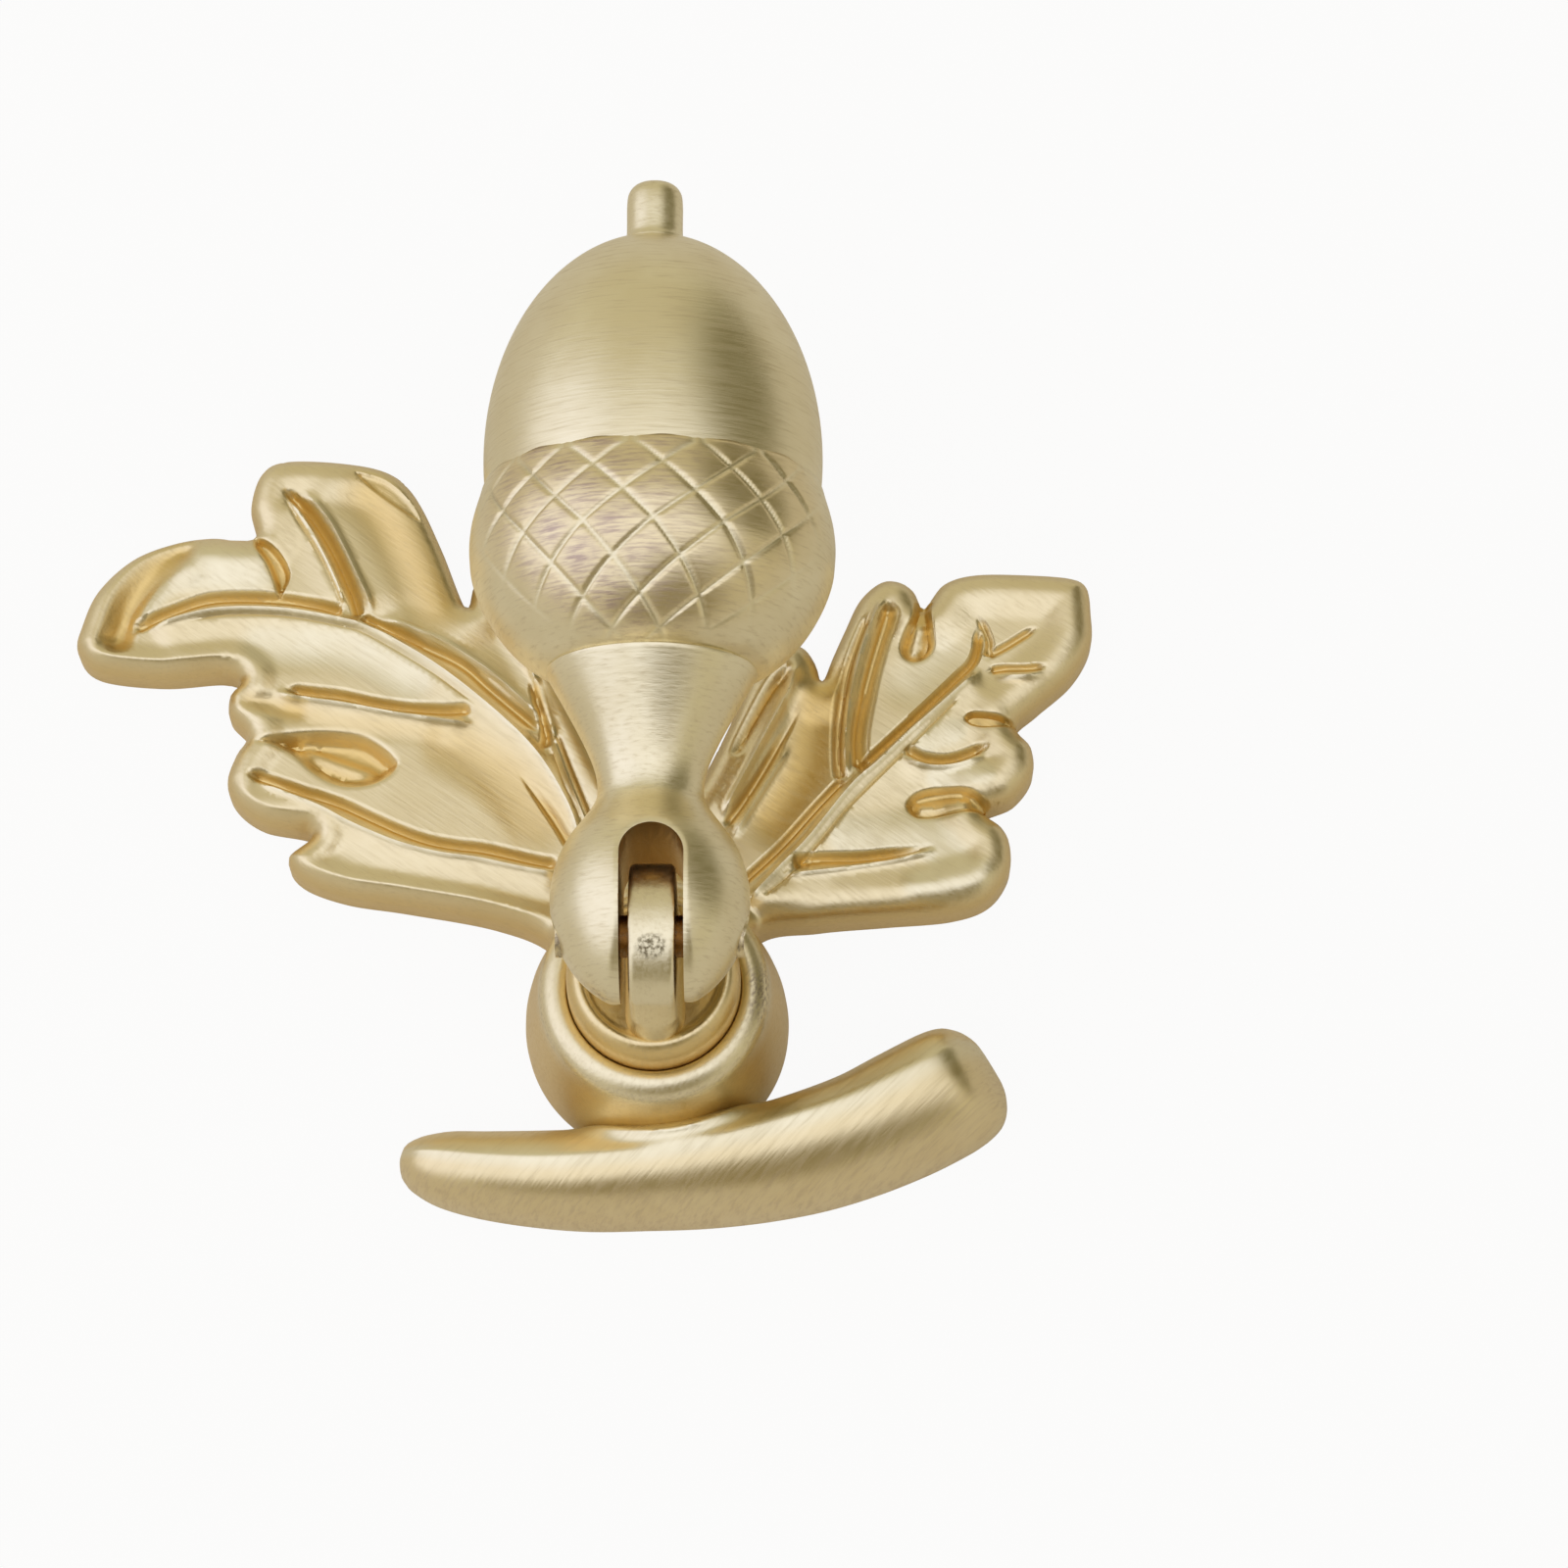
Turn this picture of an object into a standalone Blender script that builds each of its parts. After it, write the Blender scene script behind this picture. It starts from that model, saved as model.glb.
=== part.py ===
"""Acorn drop pull for a drawer or cupboard front, in metres, lying on its flat back with +Z out of the front.

The origin is the centre of the round boss on the back face. The twig lies towards -Y and the acorn towards +Y.
The backplate is one casting: twig, round boss and two oak leaves. The hinge post sits in the boss, and the
acorn turns on a cross pin through the post's tongue.
"""

import math

import bmesh
import bpy
import numpy as np
from mathutils import Vector, geometry

# Fits between the pieces.
SEAT_GAP = 0.0003
COLLAR_GAP = 0.0002
PIN_RUNNING = 0.00008
PIN_PRESSED = 0.00003

# Boss and the stepped hole through it.
BOSS_FOOT_RADIUS = 0.0065
BOSS_SHOULDER_RADIUS = 0.0055
BOSS_HEIGHT = 0.0081
RING_CREST_RADIUS = 0.0050
RING_ROUND = 0.0005
BOSS_AROUND = 48
SEAT_RADIUS = 0.0044
LEDGE_HEIGHT = 0.0030
SHANK_HOLE_RADIUS = 0.0033
CUT_PAST = 0.001

# The bell's side: share of the flare drawn in by then, and share of the boss's height.
BOSS_BELL = [(0.0, 0.17), (0.15, 0.40), (0.45, 0.62), (0.80, 0.80), (1.0, 0.91)]

# Hinge post.
COLLAR_RADIUS = SEAT_RADIUS - COLLAR_GAP
COLLAR_TOP = 0.0106
COLLAR_TOP_RADIUS = 0.0037
SHANK_RADIUS = SHANK_HOLE_RADIUS - SEAT_GAP
SHANK_BACK = 0.0003
THREAD_HOLE_RADIUS = 0.0016
THREAD_HOLE_DEPTH = 0.0080
TONGUE_WIDTH = 0.0025
TONGUE_RADIUS = 0.0034
TONGUE_EDGE = 0.0003
TONGUE_ROOT = 0.0008
TONGUE_FOOT_WIDTH = 0.0031
TONGUE_FOOT_LENGTH = 0.0070
TONGUE_FOOT_INSET = 0.0001

# Tongue foot: height over the collar's top, and share of its spread left there.
FOOT_LEVELS = [(-0.0006, 1.0), (0.0004, 0.96), (0.0010, 0.55), (0.0018, 0.18), (0.0026, 0.0)]

# Hinge axis and pin.
PIVOT_HEIGHT = 0.01615
PIN_RADIUS = 0.0010
PIN_LENGTH = 0.0088
PIN_AROUND = 32
TONGUE_BORE_LENGTH = 0.0060
EAR_BORE_LENGTH = 0.0140
REST_TILT = math.radians(2.5)

# Acorn, measured along its axis from the pivot.
BALL_CENTRE = 0.0017
BALL_HALF_LENGTH = 0.0051
BALL_RADIUS = 0.0047
SLOT_WIDTH = 0.0030
SLOT_ROOT = 0.0045
SLOT_MOUTH = 0.0120
SLOT_CUT_HEIGHT = 0.0160
NUT_CENTRE = 0.02355
NUT_HALF_LENGTH = 0.0113
NUT_RADIUS = 0.00814
STUB_RADIUS = 0.00136
STUB_END = 0.0378
AROUND = 32
LATTICE_STARTS = 16
LATTICE_ROWS = 6
GROOVE_DEPTH = 0.00028
GROOVE_HALF_WIDTH = 0.00020
CELL_HALF = 0.0014
CELL_CROWN = 0.00012
CUP_STEP = 0.0001

# Neck, from the ball to its flared edge, and cup, from the neck's edge to its rim: distance from the pivot and radius.
NECK = [
    (0.0062, 0.00275), (0.0070, 0.00251), (0.0081, 0.00267), (0.0095, 0.00325),
    (0.0110, 0.00403), (0.0122, 0.00467), (0.0127, 0.00487), (0.0129, 0.00478),
]
CUP = [
    (0.0130, 0.00510), (0.0142, 0.00675), (0.0157, 0.00790), (0.0174, 0.00860),
    (0.0189, 0.00877), (0.0205, 0.00850), (0.0219, 0.00812),
]

# Leaves and twig: the spans set their size, and their shapes are drawn below in units of the drawn spans.
LEAF_SPAN = 0.0515
LEAF_SPAN_DRAWN = 51.5
LEAF_UNIT = LEAF_SPAN / LEAF_SPAN_DRAWN
TWIG_SPAN = 0.029
TWIG_SPAN_DRAWN = 29.0
TWIG_UNIT = TWIG_SPAN / TWIG_SPAN_DRAWN

LEAF_WALL = 1.3
LEAF_RIM = 2.75
LEAF_ROUND = 1.25
LEAF_DISH = 0.5
LEAF_DISH_REACH = 1.7
VEIN_EDGE_ROOM = 1.4
POCKET_EDGE_ROOM = 0.5
POCKET_WALL = 5.0
LEAF_FLOOR = 0.9
EDGE_STEP = 0.9
VEIN_STEP = 0.9
FIELD_STEP = 1.2
RING_OFFSETS = (0.30, 1.10)
RING_SPACING = 0.28
LINE_SPACING = 0.36
POCKET_SHARES = (0.0, 0.35, 0.7, 1.0)

GOLD = (0.68, 0.55, 0.31, 1.0)

# Both leaves in one outline, in drawn units, anticlockwise from the boss round the right leaf to the left one.
LEAF_OUTLINE = [
    (3.4, 1.2), (5.0, 4.4), (8.0, 5.0), (11.3, 5.3), (14.6, 5.6), (16.5, 6.3),
    (17.5, 7.7), (17.6, 9.2), (17.2, 10.1), (16.4, 10.9), (17.8, 11.6), (18.75, 12.9),
    (18.75, 14.3), (18.0, 15.4), (19.1, 16.5), (20.85, 18.1), (21.85, 19.9), (21.9, 21.7),
    (21.7, 22.9), (20.9, 23.4), (18.7, 23.6), (16.0, 23.6), (14.4, 23.1), (13.4, 21.9),
    (12.9, 22.7), (12.2, 23.2), (11.2, 23.2), (10.1, 22.2), (9.3, 20.5), (8.7, 19.1),
    (8.2, 17.9), (7.9, 18.8), (7.2, 19.7), (5.8, 19.9), (4.7, 18.4), (3.2, 14.8),
    (1.6, 11.8), (0.0, 10.6), (-1.8, 12.2), (-3.6, 15.8), (-5.6, 20.4), (-7.0, 23.2),
    (-8.4, 23.9), (-9.5, 23.0), (-9.9, 21.9), (-11.2, 25.1), (-12.5, 27.8), (-13.9, 29.15),
    (-16.2, 29.7), (-19.2, 29.8), (-20.5, 29.1), (-21.0, 27.3), (-20.7, 25.7), (-21.6, 25.5),
    (-22.9, 25.6), (-24.8, 25.3), (-26.9, 24.4), (-28.6, 22.7), (-29.4, 20.8), (-29.6, 19.5),
    (-28.4, 18.4), (-25.2, 18.0), (-22.2, 18.2), (-21.2, 17.8), (-21.7, 17.1), (-21.7, 16.0),
    (-20.8, 14.9), (-21.3, 13.9), (-21.7, 12.5), (-21.2, 11.3), (-19.8, 10.3), (-17.4, 9.7),
    (-18.5, 8.5), (-17.8, 7.35), (-15.6, 6.5), (-12.5, 6.0), (-8.1, 5.15), (-5.3, 3.9),
    (-3.4, 1.2),
]

# Veins: points from the stem outwards, ridge height, and groove depth on the left and on the right of that way.
VEINS = [
    ([(-3.6, 6.6), (-4.3, 10.8), (-6.0, 13.7), (-8.0, 16.6), (-10.5, 18.8), (-13.0, 20.0),
      (-16.0, 20.8), (-19.0, 21.4), (-22.4, 21.4), (-25.9, 20.3)], 0.45, 0.0, 0.75),
    ([(-14.8, 20.5), (-15.8, 22.8), (-17.2, 25.4), (-18.5, 27.1), (-19.6, 27.9)], 0.35, 0.55, 0.75),
    ([(-9.3, 14.8), (-12.9, 15.4), (-15.7, 15.9), (-18.9, 16.7)], 0.35, 0.0, 0.80),
    ([(-5.0, 6.9), (-7.3, 7.4), (-10.8, 8.1), (-13.8, 8.8), (-17.6, 10.5), (-20.3, 12.3)], 0.30, 0.0, 0.80),
    ([(-3.7, 9.1), (-5.2, 13.1), (-6.6, 16.6), (-7.6, 20.6)], 0.30, 0.50, 0.50),
    ([(4.3, 6.0), (6.1, 7.3), (9.5, 11.6), (11.9, 13.6), (16.0, 17.8)], 0.45, 0.75, 0.35),
    ([(9.5, 12.0), (9.4, 14.1), (10.0, 16.7), (11.3, 21.8)], 0.35, 0.55, 0.75),
    ([(12.0, 13.1), (14.2, 12.8), (16.0, 13.3), (17.0, 14.0)], 0.25, 0.70, 0.0),
    ([(6.1, 7.1), (9.9, 7.5), (12.5, 7.9), (14.6, 8.8)], 0.30, 0.75, 0.0),
    ([(16.0, 17.8), (16.6, 19.1), (16.2, 21.0)], 0.0, 0.35, 0.35),
    ([(16.0, 17.8), (17.6, 19.2), (19.0, 20.2)], 0.0, 0.35, 0.35),
    ([(16.0, 17.8), (17.8, 17.7), (19.6, 17.9)], 0.15, 0.45, 0.0),
    ([(3.4, 8.8), (5.3, 12.2), (7.3, 15.5)], 0.30, 0.55, 0.50),
]
RIDGE_HALF = 0.42
GROOVE_OFFSET = 0.80
GROOVE_HALF = 0.42

# Pockets pressed between the lobes: centre line ends, half width at each end, depth.
POCKETS = [
    ((-18.6, 14.5), (-14.6, 13.8), 0.5, 1.45, 1.30),
    ((-20.2, 24.8), (-19.4, 23.0), 0.4, 0.65, 0.90),
    ((-25.4, 23.6), (-27.3, 20.5), 0.4, 0.60, 0.70),
    ((-14.6, 28.0), (-12.8, 26.2), 0.3, 0.45, 0.50),
    ((13.4, 21.6), (12.8, 19.7), 0.35, 0.80, 1.00),
    ((16.0, 11.3), (13.1, 11.2), 0.60, 0.65, 1.10),
    ((17.5, 15.7), (15.9, 15.8), 0.40, 0.60, 0.80),
    ((5.9, 17.0), (4.2, 13.2), 0.60, 0.80, 0.80),
]

# Twig: centre line point, half width and height, in drawn units from the thin end to the cut end.
TWIG = [
    (-12.55, -6.8, 0.4, 0.9), (-12.2, -6.85, 1.0, 1.9), (-11.5, -7.0, 1.45, 2.8),
    (-10.3, -7.25, 1.85, 3.4), (-8.4, -7.55, 2.1, 3.9), (-6.0, -7.75, 2.3, 4.2),
    (-3.3, -7.85, 2.45, 4.5), (-0.5, -7.8, 2.5, 4.7), (2.3, -7.6, 2.6, 4.9),
    (5.0, -7.15, 2.7, 5.0), (7.6, -6.5, 2.85, 5.1), (10.0, -5.65, 2.95, 5.1),
    (12.1, -4.65, 3.1, 5.1), (13.8, -3.75, 3.15, 5.0), (14.7, -3.25, 3.1, 4.6), (15.45, -2.85, 2.95, 3.5),
    (16.05, -2.5, 2.7, 2.2), (16.5, -2.25, 2.35, 0.9),
]
TWIG_POWER = 2.3
TWIG_FACETS = 14


def clear_scene():
    for obj in list(bpy.data.objects):
        bpy.data.objects.remove(obj, do_unlink=True)


def metal(name, colour, roughness):
    material = bpy.data.materials.new(name)
    material.use_nodes = True
    shader = material.node_tree.nodes["Principled BSDF"]
    shader.inputs["Base Color"].default_value = colour
    shader.inputs["Metallic"].default_value = 1.0
    shader.inputs["Roughness"].default_value = roughness
    return material


def new_object(name, mesh_bm, material=None):
    """An object from a bmesh, with its faces pointing outwards."""
    bmesh.ops.remove_doubles(mesh_bm, verts=mesh_bm.verts, dist=1e-7)
    bmesh.ops.recalc_face_normals(mesh_bm, faces=mesh_bm.faces)
    mesh = bpy.data.meshes.new(name)
    mesh_bm.to_mesh(mesh)
    mesh_bm.free()
    obj = bpy.data.objects.new(name, mesh)
    bpy.context.scene.collection.objects.link(obj)
    if material:
        mesh.materials.append(material)
    return obj


def helper(obj):
    obj.hide_render = True
    obj.display_type = "WIRE"
    return obj


def boolean(target, operation, other):
    modifier = target.modifiers.new(operation.title() + " " + other.name, "BOOLEAN")
    modifier.operation = operation
    modifier.solver = "EXACT"
    modifier.object = helper(other)


def smooth(obj, degrees):
    obj.data.shade_smooth()
    obj.data.set_sharp_from_angle(angle=math.radians(degrees))


def curve_through(points, step, closed):
    """Points about a step apart along a smooth curve through the given ones, which are all kept."""
    count = len(points)
    line = []
    for i in range(count if closed else count - 1):
        b = np.array(points[i])
        c = np.array(points[(i + 1) % count])
        a = np.array(points[i - 1]) if closed or i > 0 else 2 * b - c
        d = np.array(points[(i + 2) % count]) if closed or i + 2 < count else 2 * c - b
        pieces = max(1, round(float(np.linalg.norm(c - b)) / step))
        for k in range(pieces):
            t = k / pieces
            bend = (2 * a - 5 * b + 4 * c - d) * t**2 + (3 * b - a - 3 * c + d) * t**3
            line.append(0.5 * (2 * b + (c - a) * t + bend))
    if not closed:
        line.append(np.array(points[-1]))
    return np.array(line)


def distance_to_line(xy, line):
    """Distance to a polyline, its sign by side, and the share of the way along it."""
    best = np.full(len(xy), 1e9)
    side = np.zeros(len(xy))
    share = np.zeros(len(xy))
    for k in range(len(line) - 1):
        a, b = line[k], line[k + 1]
        d = b - a
        t = np.clip(((xy - a) @ d) / (d @ d), 0.0, 1.0)
        off = xy - (a + t[:, None] * d)
        dist = np.hypot(off[:, 0], off[:, 1])
        near = dist < best
        best = np.where(near, dist, best)
        side = np.where(near, np.sign(d[0] * off[:, 1] - d[1] * off[:, 0]), side)
        share = np.where(near, (k + t) / (len(line) - 1), share)
    return best, side, share


def inside(xy, loop):
    """True for the points within the closed loop."""
    found = np.zeros(len(xy), bool)
    for a, b in zip(loop, np.roll(loop, -1, axis=0)):
        crosses = (a[1] > xy[:, 1]) != (b[1] > xy[:, 1])
        rise = b[1] - a[1] if b[1] != a[1] else 1e-12
        found ^= crosses & (xy[:, 0] < a[0] + (xy[:, 1] - a[1]) * (b[0] - a[0]) / rise)
    return found


def leaf_height(xy, loop, vein_lines):
    """Height of the leaves' front surface over the back, in drawn units."""
    closed = np.vstack([loop, loop[:1]])
    edge = distance_to_line(xy, closed)[0]
    t = np.clip(edge / LEAF_ROUND, 0.0, 1.0)
    height = LEAF_WALL + (LEAF_RIM - LEAF_WALL) * np.sqrt(1.0 - (1.0 - t) ** 2)
    dish = np.clip((edge - LEAF_ROUND) / LEAF_DISH_REACH, 0.0, 1.0)
    height -= LEAF_DISH * dish * dish * (3.0 - 2.0 * dish)
    fade = np.clip(edge / VEIN_EDGE_ROOM, 0.0, 1.0)
    for line, ridge, left, right in vein_lines:
        dist, side, share = distance_to_line(xy, line)
        taper = fade * np.clip((1.0 - share) * 5.0 + 0.15, 0.0, 1.0)
        height += taper * ridge * np.exp(-((dist / RIDGE_HALF) ** 2))
        for depth, way in ((left, 1.0), (right, -1.0)):
            off = dist * side * way - GROOVE_OFFSET
            height -= taper * depth * np.exp(-((off / GROOVE_HALF) ** 2))
    for start, end, wide_start, wide_end, depth in POCKETS:
        dist, _, share = distance_to_line(xy, np.array([start, end]))
        wide = wide_start + (wide_end - wide_start) * share
        within = 1.0 / (1.0 + np.exp((dist / wide - 1.0) * POCKET_WALL))
        height -= depth * np.clip(edge / POCKET_EDGE_ROOM, 0.0, 1.0) * within
    return np.maximum(height, LEAF_FLOOR)


def leaf_points(loop, vein_lines):
    """Points of the front surface: rings inside the edge, lines along the veins, and an even field between."""
    closed = np.vstack([loop, loop[:1]])
    tangent = np.roll(loop, -1, axis=0) - np.roll(loop, 1, axis=0)
    tangent /= np.linalg.norm(tangent, axis=1)[:, None]
    inward = np.stack([-tangent[:, 1], tangent[:, 0]], axis=1)
    kept = [tuple(p) for p in loop]

    def add(candidates, spacing, edge_room):
        candidates = candidates[inside(candidates, loop)]
        candidates = candidates[distance_to_line(candidates, closed)[0] > edge_room]
        for p in candidates:
            near = np.array(kept)
            if np.min(np.hypot(near[:, 0] - p[0], near[:, 1] - p[1])) > spacing:
                kept.append(tuple(p))

    for offset in RING_OFFSETS:
        ring = loop + inward * offset
        good = np.abs(distance_to_line(ring, closed)[0] - offset) < 0.05
        add(ring[good], RING_SPACING, offset - 0.06)
    for line, ridge, left, right in vein_lines:
        way = np.gradient(line, axis=0)
        way /= np.linalg.norm(way, axis=1)[:, None]
        leftward = np.stack([-way[:, 1], way[:, 0]], axis=1)
        offsets = [0.0]
        if left:
            offsets += [GROOVE_OFFSET, 1.6 * GROOVE_OFFSET]
        if right:
            offsets += [-GROOVE_OFFSET, -1.6 * GROOVE_OFFSET]
        for offset in offsets:
            add(line + leftward * offset, LINE_SPACING, 0.45)
    for start, end, wide_start, wide_end, depth in POCKETS:
        start, end = np.array(start), np.array(end)
        way = (end - start) / np.linalg.norm(end - start)
        across = np.array([-way[1], way[0]])
        spots = []
        for share in POCKET_SHARES:
            centre = start + (end - start) * share
            wide = wide_start + (wide_end - wide_start) * share
            spots += [centre, centre + across * wide, centre - across * wide]
        spots.append(end + way * wide_end)
        add(np.array(spots), LINE_SPACING, 0.40)
    xs = np.arange(-30.0, 23.0, FIELD_STEP)
    ys = np.arange(0.0, 29.0, FIELD_STEP * 0.87)
    grid = np.array([(x + 0.5 * FIELD_STEP * (j % 2), y) for j, y in enumerate(ys) for x in xs])
    add(grid, 0.72 * FIELD_STEP, 0.70)
    return np.array(kept)


def filled(points, ring, loop):
    """Triangles over the points, within the outline."""
    spots, _, faces, *_ = geometry.delaunay_2d_cdt([Vector(p) for p in points], ring, [], 1, 1e-5)
    xy = np.array([tuple(p) for p in spots])
    middles = np.array([xy[list(face)].mean(axis=0) for face in faces])
    return xy, [face for face, kept in zip(faces, inside(middles, loop)) if kept]


def leaves():
    """Both leaves as one flat-backed body with a moulded front."""
    loop = curve_through(LEAF_OUTLINE, EDGE_STEP, True)
    vein_lines = [(curve_through(v[0], VEIN_STEP, False), v[1], v[2], v[3]) for v in VEINS]
    count = len(loop)
    ring = [(i, (i + 1) % count) for i in range(count)]
    xy, front_faces = filled(leaf_points(loop, vein_lines), ring, loop)
    height = leaf_height(xy, loop, vein_lines)
    height[:count] = LEAF_WALL
    bm = bmesh.new()
    front = [bm.verts.new((x * LEAF_UNIT, y * LEAF_UNIT, z * LEAF_UNIT)) for (x, y), z in zip(xy, height)]
    for face in front_faces:
        bm.faces.new([front[i] for i in face])
    back = [bm.verts.new((x * LEAF_UNIT, y * LEAF_UNIT, 0.0)) for x, y in loop]
    for face in filled(loop, ring, loop)[1]:
        bm.faces.new([back[i] for i in reversed(face)])
    for i, j in ring:
        bm.faces.new((front[i], front[j], back[j], back[i]))
    return new_object("leaves", bm)


def turned(name, profile, around, material=None):
    """A body of revolution about Z from (radius, height) points, closed at the axis where the radius is 0."""
    bm = bmesh.new()
    rings = []
    for radius, height in profile:
        if radius == 0.0:
            rings.append([bm.verts.new((0.0, 0.0, height))])
            continue
        turns = [2 * math.pi * k / around for k in range(around)]
        rings.append([bm.verts.new((radius * math.cos(a), radius * math.sin(a), height)) for a in turns])
    for low, high in zip(rings, rings[1:] + rings[:1]):
        for k in range(around):
            a, b = low[k % len(low)], low[(k + 1) % len(low)]
            c, d = high[(k + 1) % len(high)], high[k % len(high)]
            corners = list(dict.fromkeys((a, b, c, d)))
            if len(corners) > 2:
                bm.faces.new(corners)
    return new_object(name, bm, material)


def twig():
    """The cut twig: a flat-backed rod lofted from rounded sections square to its bent centre line."""
    bm = bmesh.new()
    rows = np.array(TWIG)
    way = np.gradient(rows[:, :2], axis=0)
    way /= np.linalg.norm(way, axis=1)[:, None]
    sections = []
    for (x, y, half, height), (wx, wy) in zip(rows, way):
        section = []
        for k in range(TWIG_FACETS + 1):
            angle = math.pi * k / TWIG_FACETS
            c, s = math.cos(angle), math.sin(angle)
            across = half * math.copysign(abs(c) ** (2 / TWIG_POWER), c)
            up = height * s ** (2 / TWIG_POWER) if s > 1e-9 else 0.0
            corner = Vector((x - wy * across, y + wx * across, up))
            section.append(bm.verts.new(corner * TWIG_UNIT))
        sections.append(section)
    for a, b in zip(sections, sections[1:]):
        for k in range(TWIG_FACETS):
            bm.faces.new((a[k], a[k + 1], b[k + 1], b[k]))
        bm.faces.new((a[-1], a[0], b[0], b[-1]))
    bm.faces.new(sections[0])
    bm.faces.new(sections[-1])
    return new_object("twig", bm)


def backplate(gold):
    flare = BOSS_FOOT_RADIUS - BOSS_SHOULDER_RADIUS
    side = [(0.0, 0.0), (BOSS_FOOT_RADIUS, 0.0)]
    side += [(BOSS_FOOT_RADIUS - drawn_in * flare, up * BOSS_HEIGHT) for drawn_in, up in BOSS_BELL]
    side += [
        (BOSS_SHOULDER_RADIUS - 0.4 * RING_ROUND, BOSS_HEIGHT - 0.35 * RING_ROUND),
        (RING_CREST_RADIUS, BOSS_HEIGHT),
        (0.0, BOSS_HEIGHT),
    ]
    boss = turned("leaf_backplate", side, BOSS_AROUND, gold)
    boolean(boss, "UNION", leaves())
    boolean(boss, "UNION", twig())
    seat = [
        (0.0, LEDGE_HEIGHT),
        (SEAT_RADIUS, LEDGE_HEIGHT),
        (SEAT_RADIUS, BOSS_HEIGHT - RING_ROUND),
        (SEAT_RADIUS + 0.3 * RING_ROUND, BOSS_HEIGHT - 0.3 * RING_ROUND),
        (SEAT_RADIUS + RING_ROUND, BOSS_HEIGHT + 0.1 * RING_ROUND),
        (0.0, BOSS_HEIGHT + RING_ROUND),
    ]
    boolean(boss, "DIFFERENCE", turned("seat_cutter", seat, BOSS_AROUND))
    past = LEDGE_HEIGHT + CUT_PAST
    hole = [(0.0, -CUT_PAST), (SHANK_HOLE_RADIUS, -CUT_PAST), (SHANK_HOLE_RADIUS, past), (0.0, past)]
    boolean(boss, "DIFFERENCE", turned("shank_cutter", hole, BOSS_AROUND))
    smooth(boss, 40)
    return boss


def rod_along_x(name, radius, length, segments):
    bm = bmesh.new()
    bmesh.ops.create_cone(bm, cap_ends=True, segments=segments, radius1=radius, radius2=radius, depth=length)
    for v in bm.verts:
        v.co = Vector((v.co.z, v.co.x, v.co.y))
    return new_object(name, bm)


def tongue():
    """Round-topped tongue, with its edges broken, on a round-ended foot."""
    bm = bmesh.new()
    outline = []
    for k in range(17):
        angle = math.pi * k / 16
        outline.append((TONGUE_RADIUS * math.cos(angle), PIVOT_HEIGHT + TONGUE_RADIUS * math.sin(angle)))
    outline += [(-TONGUE_RADIUS, COLLAR_TOP - TONGUE_ROOT), (TONGUE_RADIUS, COLLAR_TOP - TONGUE_ROOT)]
    face = bm.faces.new([bm.verts.new((-TONGUE_WIDTH / 2, y, z)) for y, z in outline])
    grown = bmesh.ops.extrude_face_region(bm, geom=[face])
    moved = [v for v in grown["geom"] if isinstance(v, bmesh.types.BMVert)]
    bmesh.ops.translate(bm, verts=moved, vec=(TONGUE_WIDTH, 0, 0))
    bmesh.ops.recalc_face_normals(bm, faces=bm.faces)
    rims = [e for e in bm.edges if len(e.link_faces) == 2 and abs(e.verts[0].co.x - e.verts[1].co.x) < 1e-9]
    bmesh.ops.bevel(bm, geom=rims, offset=TONGUE_EDGE, segments=2, profile=0.5, affect="EDGES", material=-1)
    return new_object("tongue", bm)


def tongue_foot():
    """Foot of the tongue, round-ended in plan and drawn in upwards to the tongue's section."""
    bm = bmesh.new()
    rings = []
    for height, share in FOOT_LEVELS:
        half_wide = TONGUE_WIDTH / 2 - TONGUE_FOOT_INSET + share * (TONGUE_FOOT_WIDTH - TONGUE_WIDTH) / 2
        half_long = TONGUE_RADIUS - TONGUE_FOOT_INSET + share * (TONGUE_FOOT_LENGTH / 2 - TONGUE_RADIUS)
        ring = []
        for end in (1, -1):
            for k in range(9):
                angle = math.pi * k / 8
                x = half_wide * math.cos(angle) * end
                y = (half_long - half_wide + half_wide * math.sin(angle)) * end
                ring.append(bm.verts.new((x, y, COLLAR_TOP + height)))
        rings.append(ring)
    for low, high in zip(rings, rings[1:]):
        for k in range(len(low)):
            j = (k + 1) % len(low)
            bm.faces.new((low[k], low[j], high[j], high[k]))
    bm.faces.new(rings[0])
    bm.faces.new(rings[-1])
    return new_object("tongue_foot", bm)


def hinge_post(gold):
    hole_top = SHANK_BACK + THREAD_HOLE_DEPTH
    post = turned(
        "hinge_post",
        [
            (0.0, hole_top),
            (THREAD_HOLE_RADIUS, hole_top - 0.0006),
            (THREAD_HOLE_RADIUS, SHANK_BACK),
            (SHANK_RADIUS, SHANK_BACK),
            (SHANK_RADIUS, LEDGE_HEIGHT + SEAT_GAP),
            (COLLAR_RADIUS, LEDGE_HEIGHT + SEAT_GAP),
            (COLLAR_RADIUS, COLLAR_TOP - 0.0013),
            (COLLAR_RADIUS - 0.0001, COLLAR_TOP - 0.0007),
            (COLLAR_TOP_RADIUS + 0.0001, COLLAR_TOP - 0.0002),
            (COLLAR_TOP_RADIUS - 0.0003, COLLAR_TOP),
            (0.0, COLLAR_TOP),
        ],
        BOSS_AROUND,
        gold,
    )
    boolean(post, "UNION", tongue_foot())
    boolean(post, "UNION", tongue())
    bore = rod_along_x("tongue_bore", PIN_RADIUS + PIN_RUNNING, TONGUE_BORE_LENGTH, PIN_AROUND)
    bore.location = (0, 0, PIVOT_HEIGHT)
    boolean(post, "DIFFERENCE", bore)
    smooth(post, 40)
    return post


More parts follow.
